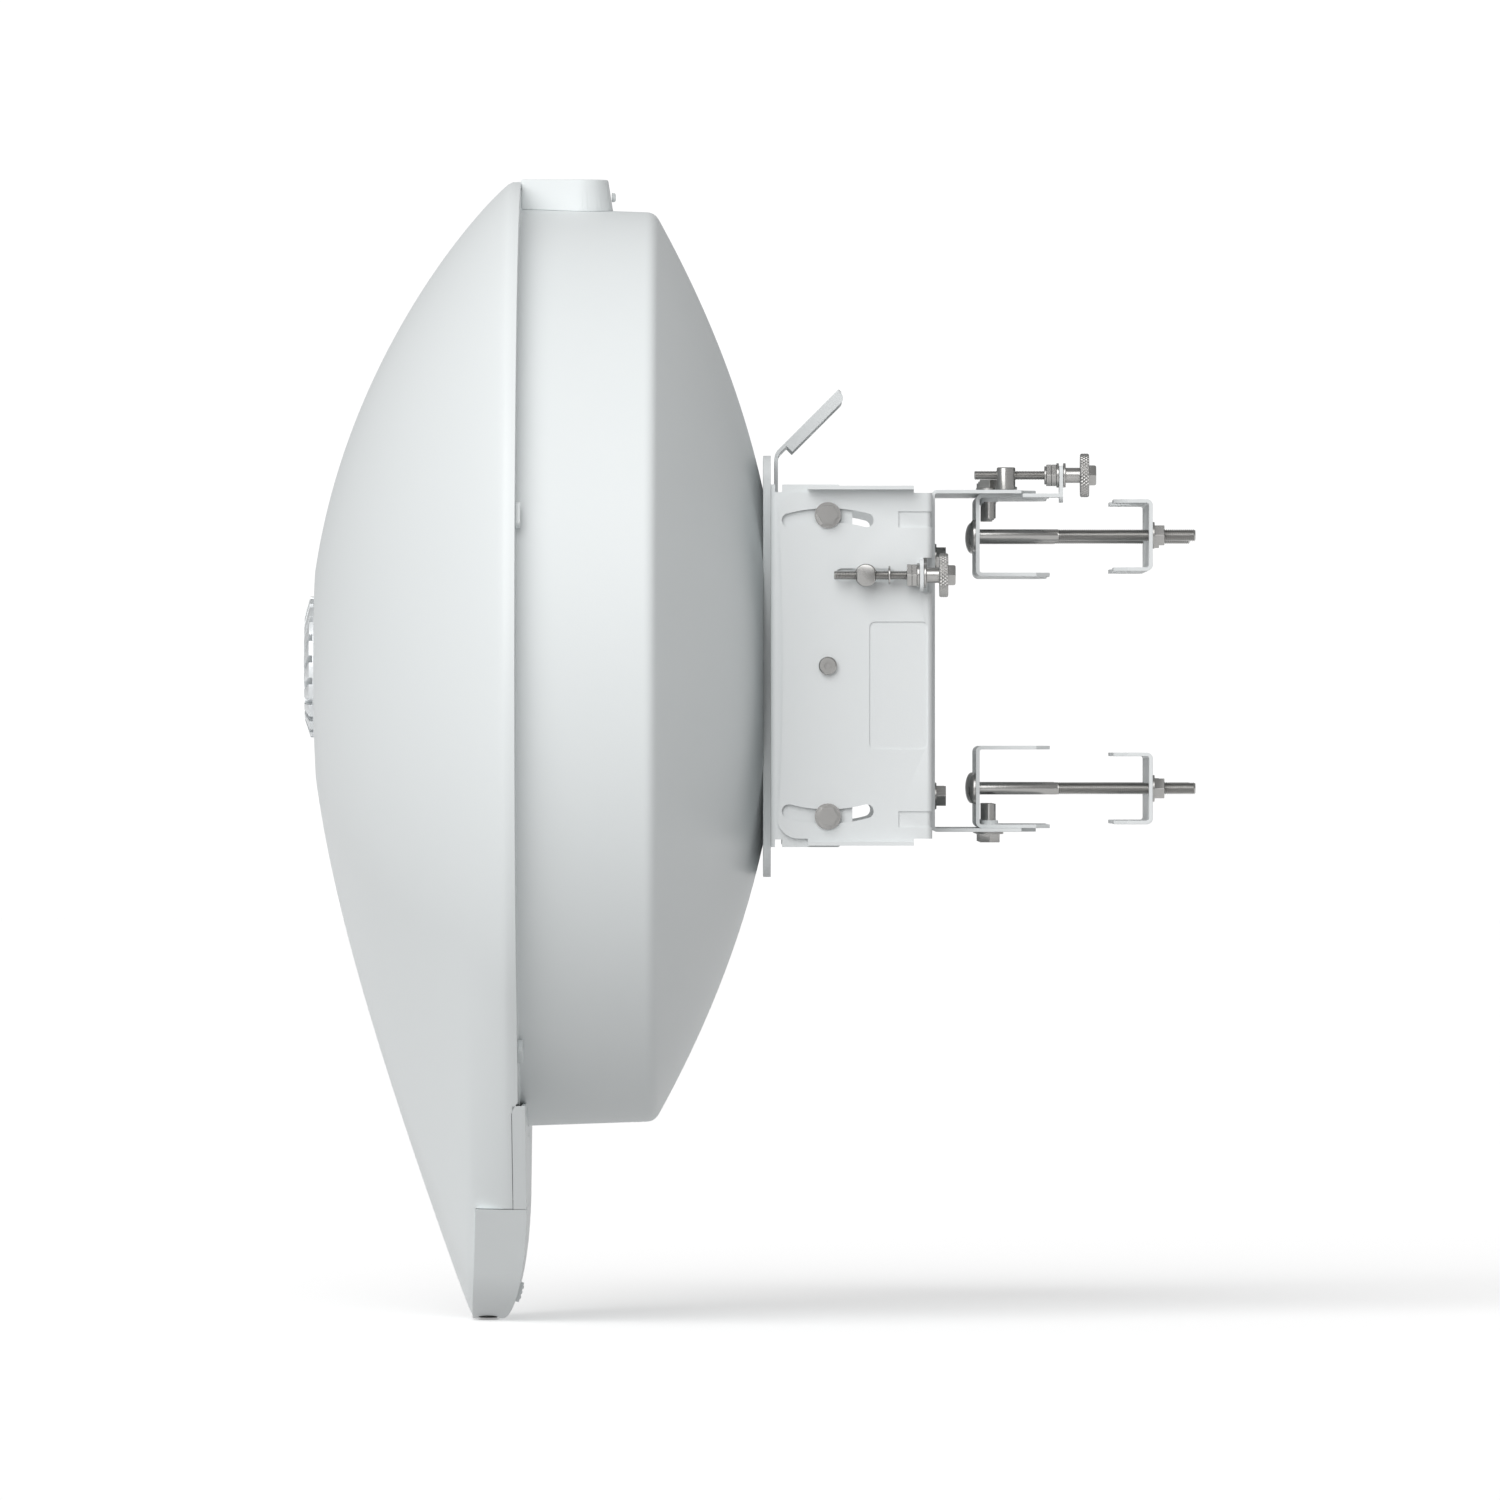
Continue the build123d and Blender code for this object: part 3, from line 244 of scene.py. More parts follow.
def grid_mesh(name, points, wrap=False, keep=None):
    """Quads over an array of points (rows, columns, 3). wrap joins the last column to the first, and
    keep is a mask of the quads to make. Merging the doubles closes rows that have shrunk to a point."""
    rows, columns = points.shape[:2]
    index = np.arange(rows * columns).reshape(rows, columns)
    if wrap:
        index = np.hstack([index, index[:, :1]])
    quads = np.stack([index[:-1, :-1], index[:-1, 1:], index[1:, 1:], index[1:, :-1]], -1)
    quads = quads.reshape(-1, 4) if keep is None else quads[keep]
    mesh = bpy.data.meshes.new(name)
    mesh.from_pydata(points.reshape(-1, 3).tolist(), [], quads.tolist())
    shape = bmesh.new()
    shape.from_mesh(mesh)
    bmesh.ops.remove_doubles(shape, verts=shape.verts, dist=SAME_POINT)
    loose = [v for v in shape.verts if not v.link_faces]
    bmesh.ops.delete(shape, geom=loose, context="VERTS")
    shape.to_mesh(mesh)
    shape.free()
    mesh.update()
    return mesh


def placed(mesh, name, node, sharp=35.0):
    """Make an object of a mesh, on its node's body, in its node's finish and in its place."""
    piece = bpy.data.objects.new(name, mesh)
    bpy.context.scene.collection.objects.link(piece)
    mesh.materials.clear()
    mesh.materials.append(FINISHES[SLOT[node]])
    mesh.shade_smooth()
    mesh.set_sharp_from_angle(angle=math.radians(sharp))
    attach(piece, BODY[node])
    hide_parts(node)
    return piece


def edged(piece, radius, sharp):
    """Round the edges that turn by more than an angle in degrees."""
    bevel = piece.modifiers.new("edge", "BEVEL")
    bevel.width, bevel.segments, bevel.limit_method = radius, 2, "ANGLE"
    bevel.angle_limit, bevel.harden_normals = math.radians(sharp), True
    return piece


def walled(piece, thickness):
    """Give an open surface its wall, grown inward, with closed and rounded edges."""
    wall = piece.modifiers.new("wall", "SOLIDIFY")
    wall.thickness, wall.offset, wall.use_even_offset = thickness, -1.0, True
    return edged(piece, WALL_EDGE, WALL_EDGE_ANGLE)


def points_out(mesh, centre):
    """Share of faces whose normal leads away from a point."""
    normals, middles = np.empty(len(mesh.polygons) * 3), np.empty(len(mesh.polygons) * 3)
    mesh.polygons.foreach_get("normal", normals)
    mesh.polygons.foreach_get("center", middles)
    away = (normals.reshape(-1, 3) * (middles.reshape(-1, 3) - centre)).sum(1)
    return round(float((away > 0).mean()), 3)


print("nodes:", len(SLOT))

# %% [markdown]
# ## The radome
# The real radome is one moulding: a dome over the dish that runs down into the chin with the radio. A
# subdivided box could be pushed into that shape, but its highlights would wobble. Every cross-section is a
# teardrop, a circle of radius R with a small round tip a distance B below the centre, so the shell is a
# function of the angle round it and the depth in front of the rim, and stays smooth at any density.

# %% Cross-sections of the dome
RIM_Y, RIM_RADIUS, BAND, DOME_SPAN, DOME_DEPTH = -369.2, 320.0, 6.6, 134.4, 136.0
DOME_POWER, RADOME_WALL = 1.125, 3.0
CHIN_DROP, TIP_SHARE, CORNER_SOFTNESS, CORNER_WIDTH = 430.0, 0.30, 4.0, 25.0
CHIN_START, CHIN_FALL, LEAST_DROP, SAFE_ANGLE = 1.57, 0.00325, 1.0, 1.4
PORT_TOP, PORT_FRONT_Y, PORT_SLOPE, GAP = -355.0, -397.6, 4.3 / 80, 0.3
CHIN_SEAM_TOP, COVER_FRONT, SINK_HOLE = -286.0, 4.3, 46.8


def dome_radius(depth):
    """R: the rim's radius, times sqrt(1 - t ** DOME_POWER), with t from 0 at the band to 1 at the apex."""
    t = np.clip((depth - BAND) / DOME_SPAN, 0.0, 1.0)
    return RIM_RADIUS * np.sqrt(1.0 - t ** DOME_POWER)


def chin_reach(depth):
    """B: the flat of the chin or the slope of its front, whichever is nearer. Between them the corner is
    soft: half of flat + slope - sqrt(gap ** 2 + soft ** 2)."""
    flat, slope = CHIN_DROP, dome_radius(depth) * (CHIN_START - CHIN_FALL * depth)
    gap = flat - slope
    soft = CORNER_SOFTNESS * np.exp(-(gap / CORNER_WIDTH) ** 2)
    reach = 0.5 * (flat + slope - np.sqrt(gap * gap + soft * soft))
    return np.maximum(reach, dome_radius(depth) + LEAST_DROP)


def tangent_angle(big, drop):
    """Angle where the tangent line meets the circle of radius R: cos of it is (R - tip) / (B - tip)."""
    tip = TIP_SHARE * big
    return np.pi / 2 - np.arcsin((big - tip) / (drop - tip))


def teardrop_radius(angle, depth):
    """Distance from the boresight to the outline; angle is from straight down, 0 to pi. The outline is a
    circle of radius tip, centred drop - tip below, then a tangent line, then the circle of radius R."""
    big, drop = dome_radius(depth), chin_reach(depth)
    tip = TIP_SHARE * big
    centre = drop - tip
    line_end = tangent_angle(big, drop)
    tip_end = np.arctan2(tip * np.sin(line_end), centre + tip * np.cos(line_end))
    under_root = tip ** 2 - (centre * np.sin(angle)) ** 2
    on_tip = centre * np.cos(angle) + np.sqrt(np.clip(under_root, 0, None))
    on_line = big / np.cos(np.clip(angle - line_end, -SAFE_ANGLE, SAFE_ANGLE))
    return np.where(angle < tip_end, on_tip, np.where(angle < line_end, on_line, big))


print("rim", dome_radius(0.0), "front flat", round(float(dome_radius(DOME_DEPTH)), 1), "mm")

# %% The shell, with the notch for the port cover
PORT_ROWS, DOME_ROWS, CAP_ROWS, PORT_COLUMNS, SIDE_COLUMNS = 10, 96, 5, 18, 90
ROW_PACKING, BEHIND_RIM = 0.8, 200


def line_angle(big, line_end, height):
    """Angle of the tangent line's point at a height below the boresight: where big / cos(angle -
    line_end), times cos(angle), is that height."""
    return np.arctan((big / height - np.cos(line_end)) / np.sin(line_end))


def notch_angle(depth):
    """Half angle of the notch: where a teardrop's tangent line is at the height of the seam."""
    big = dome_radius(depth)
    return line_angle(big, tangent_angle(big, chin_reach(depth)), -(PORT_TOP + GAP))


def seam_depth(height):
    """Depth of the notch's front edge at a height: it leans forward as it goes down."""
    return RIM_Y - PORT_FRONT_Y + GAP + PORT_SLOPE * (PORT_TOP - height)


def steps(count):
    """0 to 1 in equal steps, both ends counted."""
    return np.linspace(0, 1, count + 1)


seam_corner = seam_depth(PORT_TOP)
columns = np.concatenate([steps(PORT_COLUMNS), 1.0 + steps(SIDE_COLUMNS)[1:]])
rows = np.concatenate([steps(PORT_ROWS), 1.0 + steps(DOME_ROWS)[1:] ** ROW_PACKING,
                       2.0 + steps(CAP_ROWS)[1:]])
column, row = np.meshgrid(columns, rows)


def shell_points(column, row):
    """x, y, z in mm. Row 0 to 1 is rim to seam, 1 to 2 the dome, 2 to 3 the flat round the heat sink;
    column 0 to 1 is the notch's half width, 1 to 2 the rest of the way to the top."""
    height = PORT_TOP * column - CHIN_DROP * (1 - column)
    seam = np.where(column <= 1, seam_depth(height), seam_corner)
    depth = np.where(row < 1, row * seam, seam + (DOME_DEPTH - seam) * (np.clip(row, 1, 2) - 1))
    edge = notch_angle(np.minimum(depth, seam_corner))
    angle = np.where(column <= 1, column * edge, edge + (column - 1) * (np.pi - edge))
    radius = teardrop_radius(angle, depth)
    start = np.where(radius * np.cos(angle) > -CHIN_SEAM_TOP, COVER_FRONT, 0.0)
    depth = np.maximum(depth, start)
    radius = radius + (SINK_HOLE - radius) * np.clip(row - 2, 0, 1)
    return np.stack([radius * np.sin(angle), RIM_Y - depth, -radius * np.cos(angle)], -1)


half = shell_points(column, row)
other = half[:, ::-1][:, :-1] * (-1, 1, 1)
whole = np.concatenate([other, half], 1)
across = np.concatenate([-columns[:0:-1], columns])
in_notch = (across[:-1] >= -1) & (across[1:] <= 1)
keep = ~(in_notch[None, :] & (rows[1:, None] <= 1))
radome = grid_mesh("radome_shell_surface", whole * MM, keep=keep)
print("radome faces pointing out:", points_out(radome, np.array([0, RIM_Y + BEHIND_RIM, 0]) * MM))
walled(placed(radome, "radome_dome", "radome_shell", sharp=50), RADOME_WALL * MM)

# %% Slabs with rounded ends, and the tongue at the top of the rim
TONGUE_WIDTH, TONGUE_LOW, TONGUE_HIGH, TONGUE_CORNER = 26.0, 309.0, 320.0, 2.0
TONGUE_FRONT, TONGUE_BACK, SLAB_TAPER = -372.5, -353.4, 10


def slab(name, outline, near, far, rounding=0.6):
    """Closed slab: an outline (n, 2) in x and z, carried from y near to y far. At both ends it shrinks
    about its centre, by a share of rounding / SLAB_TAPER over the rounding, and then to a point."""
    centre, end = outline.mean(0), 1 - rounding / SLAB_TAPER
    stations = [(near, 1e-6), (near, end), (near + rounding, 1.0),
                (far - rounding, 1.0), (far, end), (far, 1e-6)]
    loops = [np.insert(centre + (outline - centre) * share, 1, y, axis=1) for y, share in stations]
    return grid_mesh(name, np.array(loops) * MM, wrap=True)


def rounded_box(width, low, high, radius, per_corner=6):
    """Outline of a box from -width / 2 to width / 2 and low to high, with round corners."""
    turn = np.linspace(0, np.pi / 2, per_corner)
    corners = [(width / 2 - radius, high - radius, 0), (radius - width / 2, high - radius, 1),
               (radius - width / 2, low + radius, 2), (width / 2 - radius, low + radius, 3)]
    return np.concatenate([np.stack([x + radius * np.cos(turn + k * np.pi / 2),
                                     z + radius * np.sin(turn + k * np.pi / 2)], 1)
                           for x, z, k in corners])


tongue_outline = rounded_box(TONGUE_WIDTH, TONGUE_LOW, TONGUE_HIGH, TONGUE_CORNER)
tongue = slab("tongue", tongue_outline, TONGUE_FRONT, TONGUE_BACK)
placed(tongue, "radome_tongue", "radome_shell", sharp=30)
print("tongue faces:", len(tongue.polygons))

# %% [markdown]
# ## The dish
# Behind the radome sits a spun aluminium dish: a flange, a nearly straight drum and a shallow bowl with a
# flat hub. Spinning makes a body of revolution, so one profile turned round the boresight is the honest
# way to draw it, and the bowl between rim and hub is a parabola.

# %% Drum, bowl and hub turned from one profile
FLANGE_RADIUS, DRUM_FRONT, DRUM_REAR, DRUM_END_Y, DRUM_CORNER = 315.5, 303.0, 300.0, -281.4, 5.5
HUB_RADIUS, HUB_Y, HUB_EDGE, HUB_MIDDLE, BOWL_RINGS = 117.0, -210.0, (2, 4), 60, 40
FLANGE_Y, FLANGE_CORNER, DISH_WALL = RIM_Y + 0.01, 1.5, 2.0


def fillet_path(points, radii, steps=7):
    """A polyline with round corners: each corner is a quadratic curve between two points at a setback."""
    points = np.array(points, float)
    path = [points[:1]]
    t = np.linspace(0, 1, steps)[:, None]
    for before, corner, after, radius in zip(points, points[1:], points[2:], radii):
        back, forth = before - corner, after - corner
        start = corner + back / np.linalg.norm(back) * radius
        end = corner + forth / np.linalg.norm(forth) * radius
        path.append(start * (1 - t) ** 2 + 2 * corner * t * (1 - t) + end * t ** 2)
    path.append(points[-1:])
    return np.concatenate(path)


def bowl(radius):
    """Y of the bowl: a parabola that is HUB_Y at the hub and DRUM_END_Y at the drum's corner."""
    t = (radius ** 2 - HUB_RADIUS ** 2) / (DRUM_REAR ** 2 - HUB_RADIUS ** 2)
    return HUB_Y + (DRUM_END_Y - HUB_Y) * t


def turned(profile, count=192):
    """Points of a profile of (radius, y) turned round the boresight, counted once round."""
    angle = np.linspace(0, 2 * np.pi, count, endpoint=False)
    radius, y = profile[:, :1], profile[:, 1:]
    return np.stack(np.broadcast_arrays(radius * np.sin(angle), y, radius * np.cos(angle)), -1)


bowl_radii = np.linspace(DRUM_REAR - DRUM_CORNER, HUB_RADIUS + HUB_EDGE[0], BOWL_RINGS)
bowl_path = [(r, bowl(r)) for r in bowl_radii]
front_path = fillet_path([(FLANGE_RADIUS, FLANGE_Y), (DRUM_FRONT, FLANGE_Y), (DRUM_REAR, DRUM_END_Y),
                          bowl_path[0]], (FLANGE_CORNER, DRUM_CORNER))
hub_path = [(r, HUB_Y) for r in (HUB_RADIUS, HUB_RADIUS - HUB_EDGE[1], HUB_MIDDLE, 1e-6)]
dish_profile = np.array([*front_path[:-1], *bowl_path, *hub_path])
dish = grid_mesh("dish_surface", turned(dish_profile) * MM, wrap=True)
print("dish faces pointing out:", points_out(dish, np.array([0, RIM_Y, 0]) * MM))
walled(placed(dish, "dish_bowl", "reflector_drum", sharp=40), DISH_WALL * MM)

# %% [markdown]
# ## Shoulders between dish and chin
# Where the round dish meets the straight sides of the chin, two thin webs close the radome from behind,
# above the chin's back cover. Each is a flat triangle with one hollow side along the flange.

# %% Two flat webs
WEB_ROUND, WEB_LOW, WEB_Y, WEB_THICKNESS = 315.8, CHIN_SEAM_TOP + 0.4, -369.6, 2.2
WEB_ROUNDING, WEB_INSET, WEB_STEPS = 0.2, 1.0, 24


def web_outline(side):
    """Along the flange from the back cover to the tangent point, then back down the chin's side."""
    line_end = tangent_angle(RIM_RADIUS, CHIN_DROP)
    inner = np.linspace(math.acos(-WEB_LOW / WEB_ROUND), line_end, WEB_STEPS)
    outer = np.linspace(line_end, line_angle(RIM_RADIUS, line_end, -WEB_LOW), WEB_STEPS)
    reach = teardrop_radius(outer, np.zeros(WEB_STEPS)) - WEB_INSET
    loop = np.concatenate([np.stack([WEB_ROUND * np.sin(inner), -WEB_ROUND * np.cos(inner)], 1),
                           np.stack([reach * np.sin(outer), -reach * np.cos(outer)], 1)])
    return loop[::-1] * (-1, 1) if side < 0 else loop


for side, name in ((-1, "far"), (1, "near")):
    web = slab(f"{name}_web", web_outline(side), WEB_Y - WEB_THICKNESS, WEB_Y, WEB_ROUNDING)
    placed(web, f"{name}_shoulder_web", "lobe_back_cover", sharp=30)
print("webs closed over", round(float(-WEB_LOW), 1), "mm below the boresight and up")

# %% [markdown]
# ## Threads
# The fine screws are M6 with a 1 mm pitch and the long carriage bolts M8 with 1.25 mm. A texture would
# leave their outlines straight, and the outline is where a thread shows. On a grid over the angle and the
# length, a real thread is one line of maths: the radius falls and rises once for each pitch, and the place
# along the bolt where it does so moves by one pitch for each turn.

# %% A bar with a helix cut in it
THREAD_FLAT = 0.2


def bar(name, x, z, stations, pitch, depth, threaded, around=24, per_pitch=6):
    """A turned bar along y, counted from its front end; stations are (y, radius), in mm. Between the two
    y values of threaded the radius drops by depth * (1 - ridge), where ridge is a triangle wave, cut off
    flat at its crest and root, of y / pitch + angle / turn."""
    at, radii = np.array(stations, float).T
    inside = np.arange(max(threaded[0], at[0]), min(threaded[1], at[-1]), pitch / per_pitch)
    y = np.unique(np.concatenate([at, at[1:-1] + 1e-4, inside]))
    radius = np.interp(y, at, radii)
    turn = np.linspace(0, 1, around, endpoint=False)
    wave = np.abs(((y[:, None] / pitch + turn[None, :]) % 1.0) * 2.0 - 1.0)
    ridge = np.clip(wave * (1 + 2 * THREAD_FLAT) - THREAD_FLAT, 0.0, 1.0)
    ends = np.clip((y - threaded[0]) / pitch, 0, 1) * np.clip((threaded[1] - y) / pitch, 0, 1)
    cut = radius[:, None] - depth * (1 - ridge) * ends[:, None]
    cut = np.where(radius[:, None] > 0.01, np.maximum(cut, 0.01), 0.0)
    angle = 2 * np.pi * turn[None, :]
    points = np.stack(np.broadcast_arrays(x + cut * np.cos(angle), y[:, None],
                                          z + cut * np.sin(angle)), -1)
    return grid_mesh(name, points[:, ::-1] * MM, wrap=True)


def rod_stations(front, back, radius, chamfer=0.6):
    """A plain rod with chamfered ends, closed at both."""
    return [(front, 0.0), (front + 1e-3, radius - chamfer), (front + chamfer, radius),
            (back - chamfer, radius), (back - 1e-3, radius - chamfer), (back, 0.0)]


M6_RADIUS, M6_PITCH, M6_DEPTH = 3.0, 1.0, 0.5
M8_RADIUS, M8_PITCH, M8_DEPTH = 4.0, 1.25, 0.62
ELEVATION_X, ELEVATION_Z, AZIMUTH_X, AZIMUTH_Z = 159.5, 58.8, 86.0, 125.0
FINE_SCREWS = {"elevation": (ELEVATION_X, ELEVATION_Z, -164.0, -90.0),
               "azimuth": (AZIMUTH_X, AZIMUTH_Z, -71.7, 3.0)}
for name, (x, z, front, back) in FINE_SCREWS.items():
    stations = rod_stations(front, back, M6_RADIUS)
    rod = bar(f"{name}_thread", x, z, stations, M6_PITCH, M6_DEPTH, (front, back))
    placed(rod, f"{name}_threaded_rod", f"{name}_screw", sharp=60)
    print(name, "rod faces:", len(rod.polygons))

# %% Carriage bolts: domed head, plain shank, thread
HEAD_RADIUS, HEAD_HEIGHT, HEAD_RIM, HEAD_Y = 10.3, 5.0, 0.8, -70.6
BOLT_X, BOLT_END_Y, BOLT_CHAMFER, THREAD_Y = 66.0, 73.6, 0.8, -17.0
BOLT_LEVELS = {"upper": 86.0, "lower": -80.0}
head_dome = [(HEAD_Y - HEAD_RIM - (HEAD_HEIGHT - HEAD_RIM) * math.cos(a), HEAD_RADIUS * math.sin(a))
             for a in np.linspace(0, np.pi / 2, 12)]
bolt_stations = [*head_dome, (HEAD_Y - 0.001, HEAD_RADIUS), (HEAD_Y, M8_RADIUS),
                 (BOLT_END_Y - BOLT_CHAMFER, M8_RADIUS),
                 (BOLT_END_Y - 0.001, M8_RADIUS - BOLT_CHAMFER), (BOLT_END_Y, 0.0)]
for level, z in BOLT_LEVELS.items():
    for side, x in (("near", BOLT_X), ("far", -BOLT_X)):
        bolt = bar(f"{level}_{side}_bolt", x, z, bolt_stations, M8_PITCH, M8_DEPTH,
                   (THREAD_Y, BOLT_END_Y), around=28)
        placed(bolt, f"{level}_{side}_carriage_bolt", f"{level}_carriage_bolts", sharp=40)
print("carriage bolt faces:", len(bolt.polygons))

# %% [markdown]
# ## Thumbwheels
# The wheels have a diamond knurl, pressed by two toothed rollers whose grooves lean left and right. The
# groove depth is the larger of two triangle waves that turn opposite ways, so the crossings leave diamonds
# standing. On a grid this is one more radius function, like the thread.

# %% Knurled wheel with a hex end
WHEEL_RADIUS, WHEEL_WIDTH, DIAMONDS, KNURL_DEPTH, DIAMOND_LENGTH = 14.3, 5.8, 38, 0.55, 2.9
FACE_RADIUS, DISHED_RADIUS, DISHED, RIM_CHAMFER = 12.9, 8, 0.4, 0.7


def thumbwheel(name, x, z, y):
    """Wheel from y to y + its width: radius less depth * max(|wave(u + v)|, |wave(u - v)|), with u round
    the rim and v across it, both counted in diamonds. The faces are dished slightly round the axis."""
    turn = np.arange(DIAMONDS * 8) / (DIAMONDS * 8)
    across = np.linspace(0, WHEEL_WIDTH, 25)[:, None]
    u, v = turn[None, :] * DIAMONDS, across / DIAMOND_LENGTH
    groove = np.maximum(np.abs(((u + v) % 1) * 2 - 1), np.abs(((u - v) % 1) * 2 - 1))
    rim = WHEEL_RADIUS - KNURL_DEPTH * np.clip(groove * 1.6 - 0.5, 0, 1)
    edge = np.minimum(across, WHEEL_WIDTH - across)
    rim = np.minimum(rim, WHEEL_RADIUS - RIM_CHAMFER + edge)
    face = np.array([[0.0], [DISHED_RADIUS], [FACE_RADIUS]]) * np.ones((1, turn.size))
    radius = np.concatenate([face, rim, face[::-1]])
    sunk = np.array([[DISHED], [DISHED], [0.0]])
    along = np.concatenate([sunk, across, WHEEL_WIDTH - sunk[::-1]])
    angle = 2 * np.pi * turn[None, :]
    points = np.stack(np.broadcast_arrays(x + radius * np.cos(angle), y + along,
                                          z + radius * np.sin(angle)), -1)
    return grid_mesh(name, points[:, ::-1] * MM, wrap=True)


def hex_end(name, x, z, near, far, across_flats=13.0):
    """A hexagonal bar: radius = half / cos of the angle from the nearest flat, chamfered at its end. A
    station is (y, share of the hexagon, largest radius)."""
    turn = np.linspace(0, 2 * np.pi, 72, endpoint=False)
    half = across_flats / 2
    hexagon = half / np.cos((turn % (np.pi / 3)) - np.pi / 6)
    stations = np.array([(near, 0.0, 9.0), (near, 1.0, 9.0), (far - 1.2, 1.0, 7.5),
                         (far - 0.3, 0.955, 6.9), (far, 0.86, 6.3), (far, 0.0, 6.3)])
    y, share, most = stations.T[:, :, None]
    radius = np.minimum(hexagon * share, most)
    points = np.stack(np.broadcast_arrays(x + radius * np.cos(turn), y, z + radius * np.sin(turn)), -1)
    return grid_mesh(name, points[:, ::-1] * MM, wrap=True)


HEX_SUNK = 0.5
WHEELS = {"elevation": (ELEVATION_X, ELEVATION_Z, -95.6, -85.0),
          "azimuth": (AZIMUTH_X, AZIMUTH_Z, -2.5, 8.0)}
for name, (x, z, y, end) in WHEELS.items():
    wheel = thumbwheel(f"{name}_wheel_surface", x, z, y)
    placed(wheel, f"{name}_thumbwheel", f"{name}_wheel", sharp=28)
    hexagon = hex_end(f"{name}_hex_surface", x, z, y + WHEEL_WIDTH - HEX_SUNK, end)
    placed(hexagon, f"{name}_hex_end", f"{name}_wheel", sharp=30)
print("diamonds round a wheel:", DIAMONDS)

# %% [markdown]
# ## Folded and moulded parts, with softened edges
# A machined or folded part never has a razor edge: a small radius catches the light and makes the part
# read as real. The frame's meshes are loose triangles, so each one is copied, its doubles are merged and
# its flat faces are joined. A Bevel modifier then rounds what is left of the sharp edges.

# %% Copy, merge, bevel
SHEET_EDGE, MOULDED_EDGE, FASTENER_EDGE = 0.35 * MM, 0.6 * MM, 0.25 * MM
FRAME_MERGE, ONE_PLANE = 2e-6, math.radians(0.6)


def softened(node, radius, sharp=35.0):
    """A copy of a frame node with merged faces and edges rounded to a radius."""
    shape = bmesh.new()
    shape.from_mesh(frame["nodes"][node].data)
    bmesh.ops.remove_doubles(shape, verts=shape.verts, dist=FRAME_MERGE)
    bmesh.ops.dissolve_limit(shape, angle_limit=ONE_PLANE, verts=shape.verts, edges=shape.edges)
    mesh = bpy.data.meshes.new(f"{node}_softened")
    shape.to_mesh(mesh)
    shape.free()
    return edged(placed(mesh, f"{node}_part", node, sharp), radius, sharp)


SHEET_PARTS = ("mounting_plate", "tilt_bracket", "hoist_handle", "pan_bracket", "pan_yoke",
               "upper_front_jaw", "lower_front_jaw", "upper_rear_jaw", "lower_rear_jaw")
for node in SHEET_PARTS:
    softened(node, SHEET_EDGE)
print("softened sheet parts:", len(SHEET_PARTS))

# %% Fasteners, mouldings and what they hold
MOULDED = ("lobe_back_cover", "port_cover", "port_cover_latch", "gps_housing", "gps_knob", "rim_latches")
DRAWN_NEW = {"radome_shell", "reflector_drum", "upper_carriage_bolts", "lower_carriage_bolts",
             "elevation_screw", "elevation_wheel", "azimuth_screw", "azimuth_wheel"}
for node in SLOT:
    if node in MOULDED:
        softened(node, MOULDED_EDGE)
    elif node not in SHEET_PARTS and node not in DRAWN_NEW:
        softened(node, FASTENER_EDGE)
print("softened fasteners, mouldings and inner parts:", len(SLOT) - len(SHEET_PARTS) - len(DRAWN_NEW))

# The frame's own meshes carry the same finishes, though every one of them is replaced.
for node, thing in frame["nodes"].items():
    thing.data.materials.clear()
    thing.data.materials.append(FINISHES[SLOT[node]])

# %% [markdown]
# ## Floor, light and camera
# The object is lit like a product on a white table in a white room: even light from all round, and one
# very wide, soft lamp above and in front of the dish. A white floor next to a white object would throw its
# own light up and wash the form out, so floor and room are hidden from diffuse rays. The camera stands
# 10 m away, level, on the side of the fine screws, with a long lens.

# %% Floor and a white room
FLOOR_Z, FLOOR_RADIUS, ROOM_RADIUS = cad_low.z - 0.5 * MM, 23.9, 24.0


def disc_points(radius, height, rings=24, around=96):
    """Rings round the origin, closer together near the object: radius * t ** 2, at one height."""
    t = np.linspace(1e-9, 1, rings)[:, None] ** 2 * radius
    angle = np.linspace(0, 2 * np.pi, around, endpoint=False)[None, :]
    return np.stack(np.broadcast_arrays(t * np.cos(angle), t * np.sin(angle), height), -1)


def ball_points(radius, rows=48, around=96):
    """A sphere by latitude and longitude."""
    up = np.linspace(-np.pi / 2, np.pi / 2, rows)[:, None]
    angle = np.linspace(0, 2 * np.pi, around, endpoint=False)[None, :]
    return np.stack(np.broadcast_arrays(radius * np.cos(up) * np.cos(angle),
                                        radius * np.cos(up) * np.sin(angle), radius * np.sin(up)), -1)


floor = bpy.data.objects.new("floor", grid_mesh("floor", disc_points(FLOOR_RADIUS, FLOOR_Z), wrap=True))
room = bpy.data.objects.new("room", grid_mesh("room", ball_points(ROOM_RADIUS), wrap=True))
for thing in (floor, room):
    bpy.context.scene.collection.objects.link(thing)
    thing.visible_diffuse = False


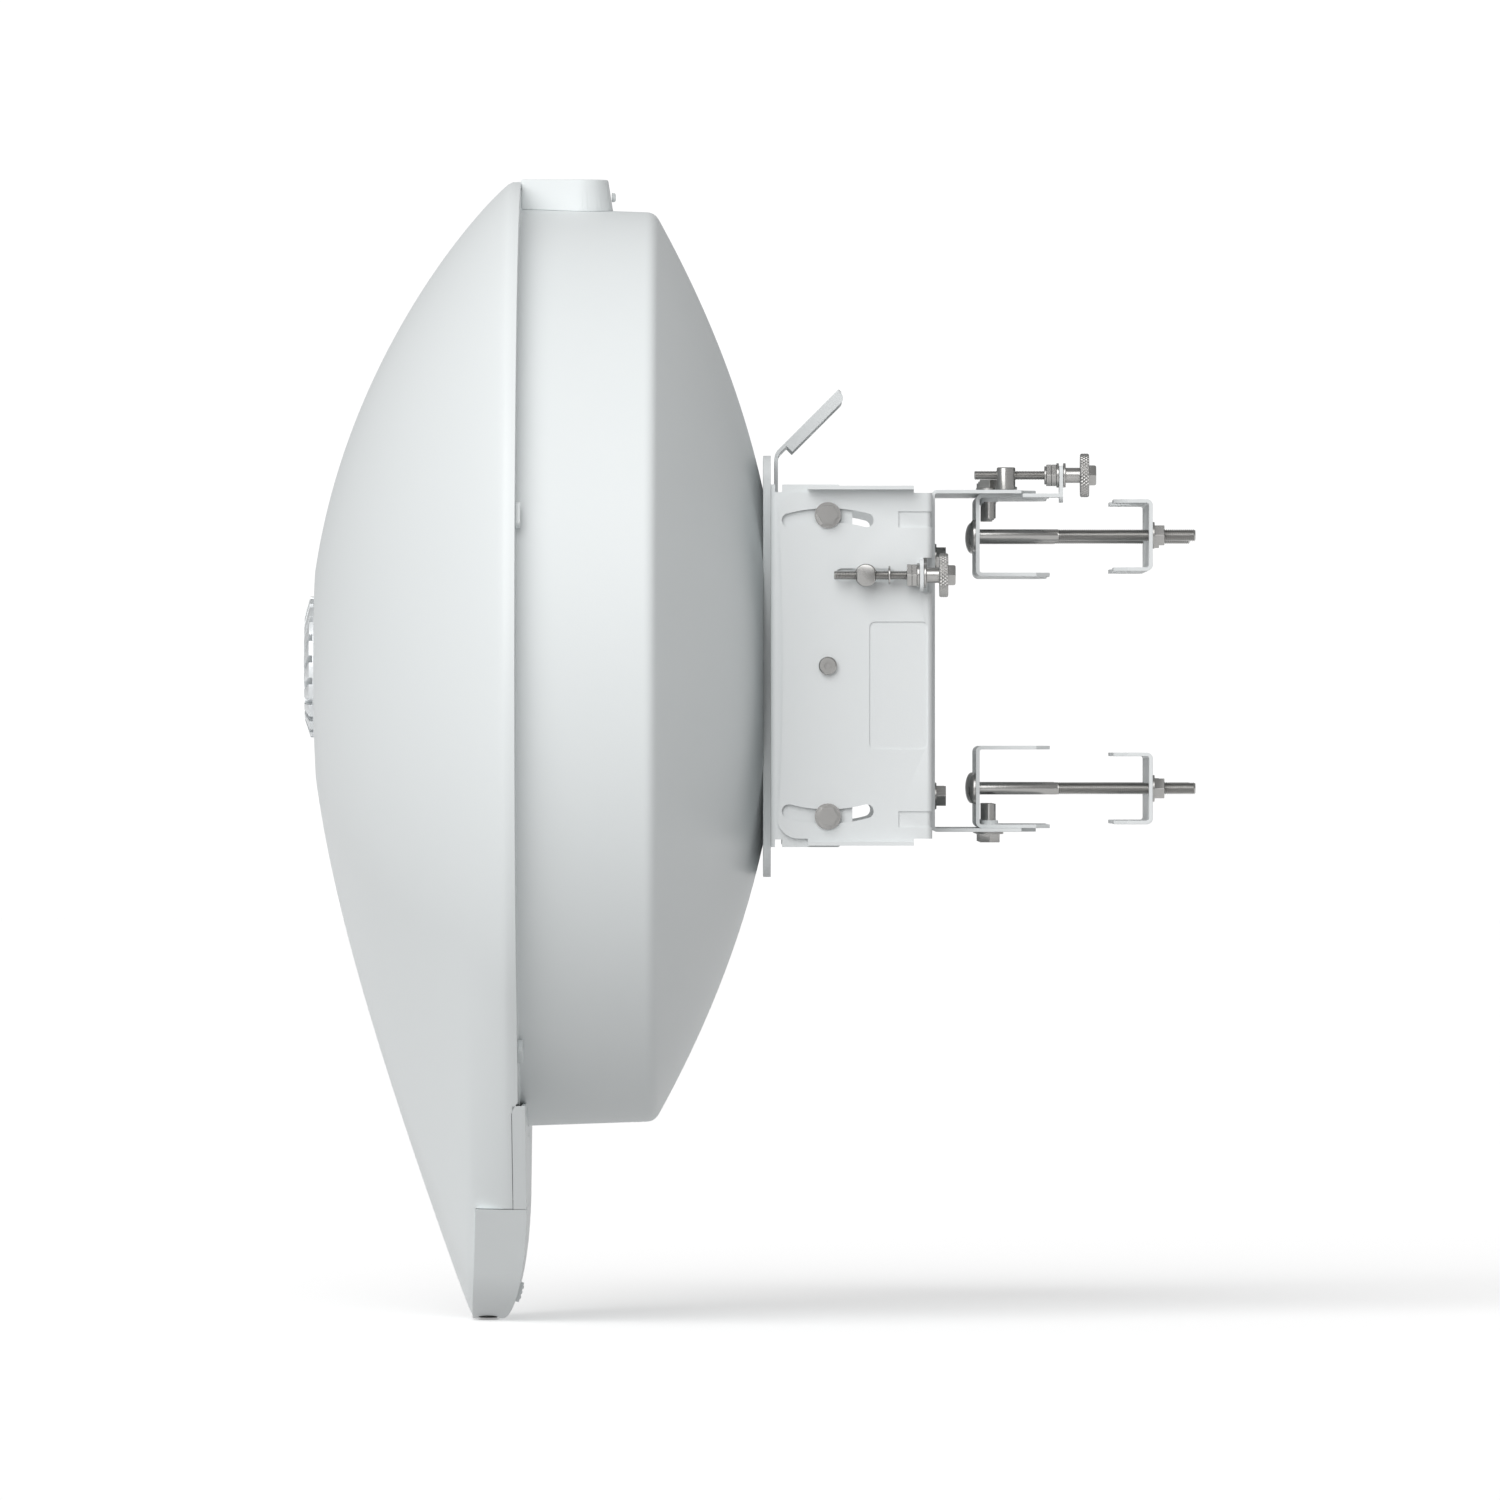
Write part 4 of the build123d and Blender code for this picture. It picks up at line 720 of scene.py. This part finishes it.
def glowing(name, albedo, glow, sheen, roughness):
    """A surface lit from inside a little: matt grey plus glow, mixed with a weak, blurred mirror."""
    material = bpy.data.materials.new(name)
    material.use_nodes = True
    tree = material.node_tree
    tree.nodes.clear()
    place = Field(tree, tree.nodes.new("ShaderNodeTexCoord").outputs["Object"])
    matt = place.node("ShaderNodeBsdfDiffuse", {"Color": (albedo, albedo, albedo, 1)})
    light = place.node("ShaderNodeEmission", {"Color": (1, 1, 1, 1), "Strength": glow})
    mirror = place.node("ShaderNodeBsdfGlossy", {"Color": (1, 1, 1, 1), "Roughness": roughness})
    both = place.node("ShaderNodeAddShader", {0: matt, 1: light})
    share = grain(place, 0.7, 1.0) * 0.02 + sheen
    top = place.node("ShaderNodeMixShader", {0: share, 1: both, 2: mirror})
    out = tree.nodes.new("ShaderNodeOutputMaterial")
    tree.links.new(top.socket, out.inputs["Surface"])
    return material


floor.data.materials.append(glowing("table_top", albedo=0.95, glow=0.30, sheen=0.04, roughness=0.10))
room.data.materials.append(glowing("room_white", albedo=0.0, glow=1.05, sheen=0.0, roughness=1.0))
room.visible_glossy = room.visible_shadow = False
print("floor at", round(FLOOR_Z / MM, 1), "mm")

# %% Lamp, world and camera
scene = bpy.context.scene


def sun(name, towards, strength, softness):
    """A far, soft lamp: light comes from the direction towards, spread over an angle in degrees."""
    light = bpy.data.lights.new(name, "SUN")
    light.energy, light.angle = strength, math.radians(softness)
    thing = bpy.data.objects.new(name, light)
    scene.collection.objects.link(thing)
    thing.rotation_euler = Vector(towards).to_track_quat("Z", "Y").to_euler()
    return thing


ROOM_LIGHT = 0.42
sun("key_lamp", towards=(0.76, -0.36, 0.50), strength=2.26, softness=58.0)
world = bpy.data.worlds.new("bright_room")
world.use_nodes = True
background = world.node_tree.nodes["Background"]
background.inputs["Color"].default_value = (1.0, 1.0, 1.0, 1.0)
background.inputs["Strength"].default_value = ROOM_LIGHT
scene.world = world
scene.view_settings.view_transform = "Standard"

VIEW_DISTANCE, VIEW_Y, VIEW_Z = 10.0, -0.2186, -0.0548
LENS, SENSOR_WIDTH, FARTHEST = 363.4, 36.0, 100.0
camera = bpy.data.objects.new("camera", bpy.data.cameras.new("camera"))
scene.collection.objects.link(camera)
scene.camera = camera
camera.location = (VIEW_DISTANCE, VIEW_Y, VIEW_Z)
camera.rotation_euler = (math.radians(90), 0, math.radians(90))
camera.data.lens, camera.data.sensor_width, camera.data.clip_end = LENS, SENSOR_WIDTH, FARTHEST
print("camera", tuple(camera.location), "lens", camera.data.lens)
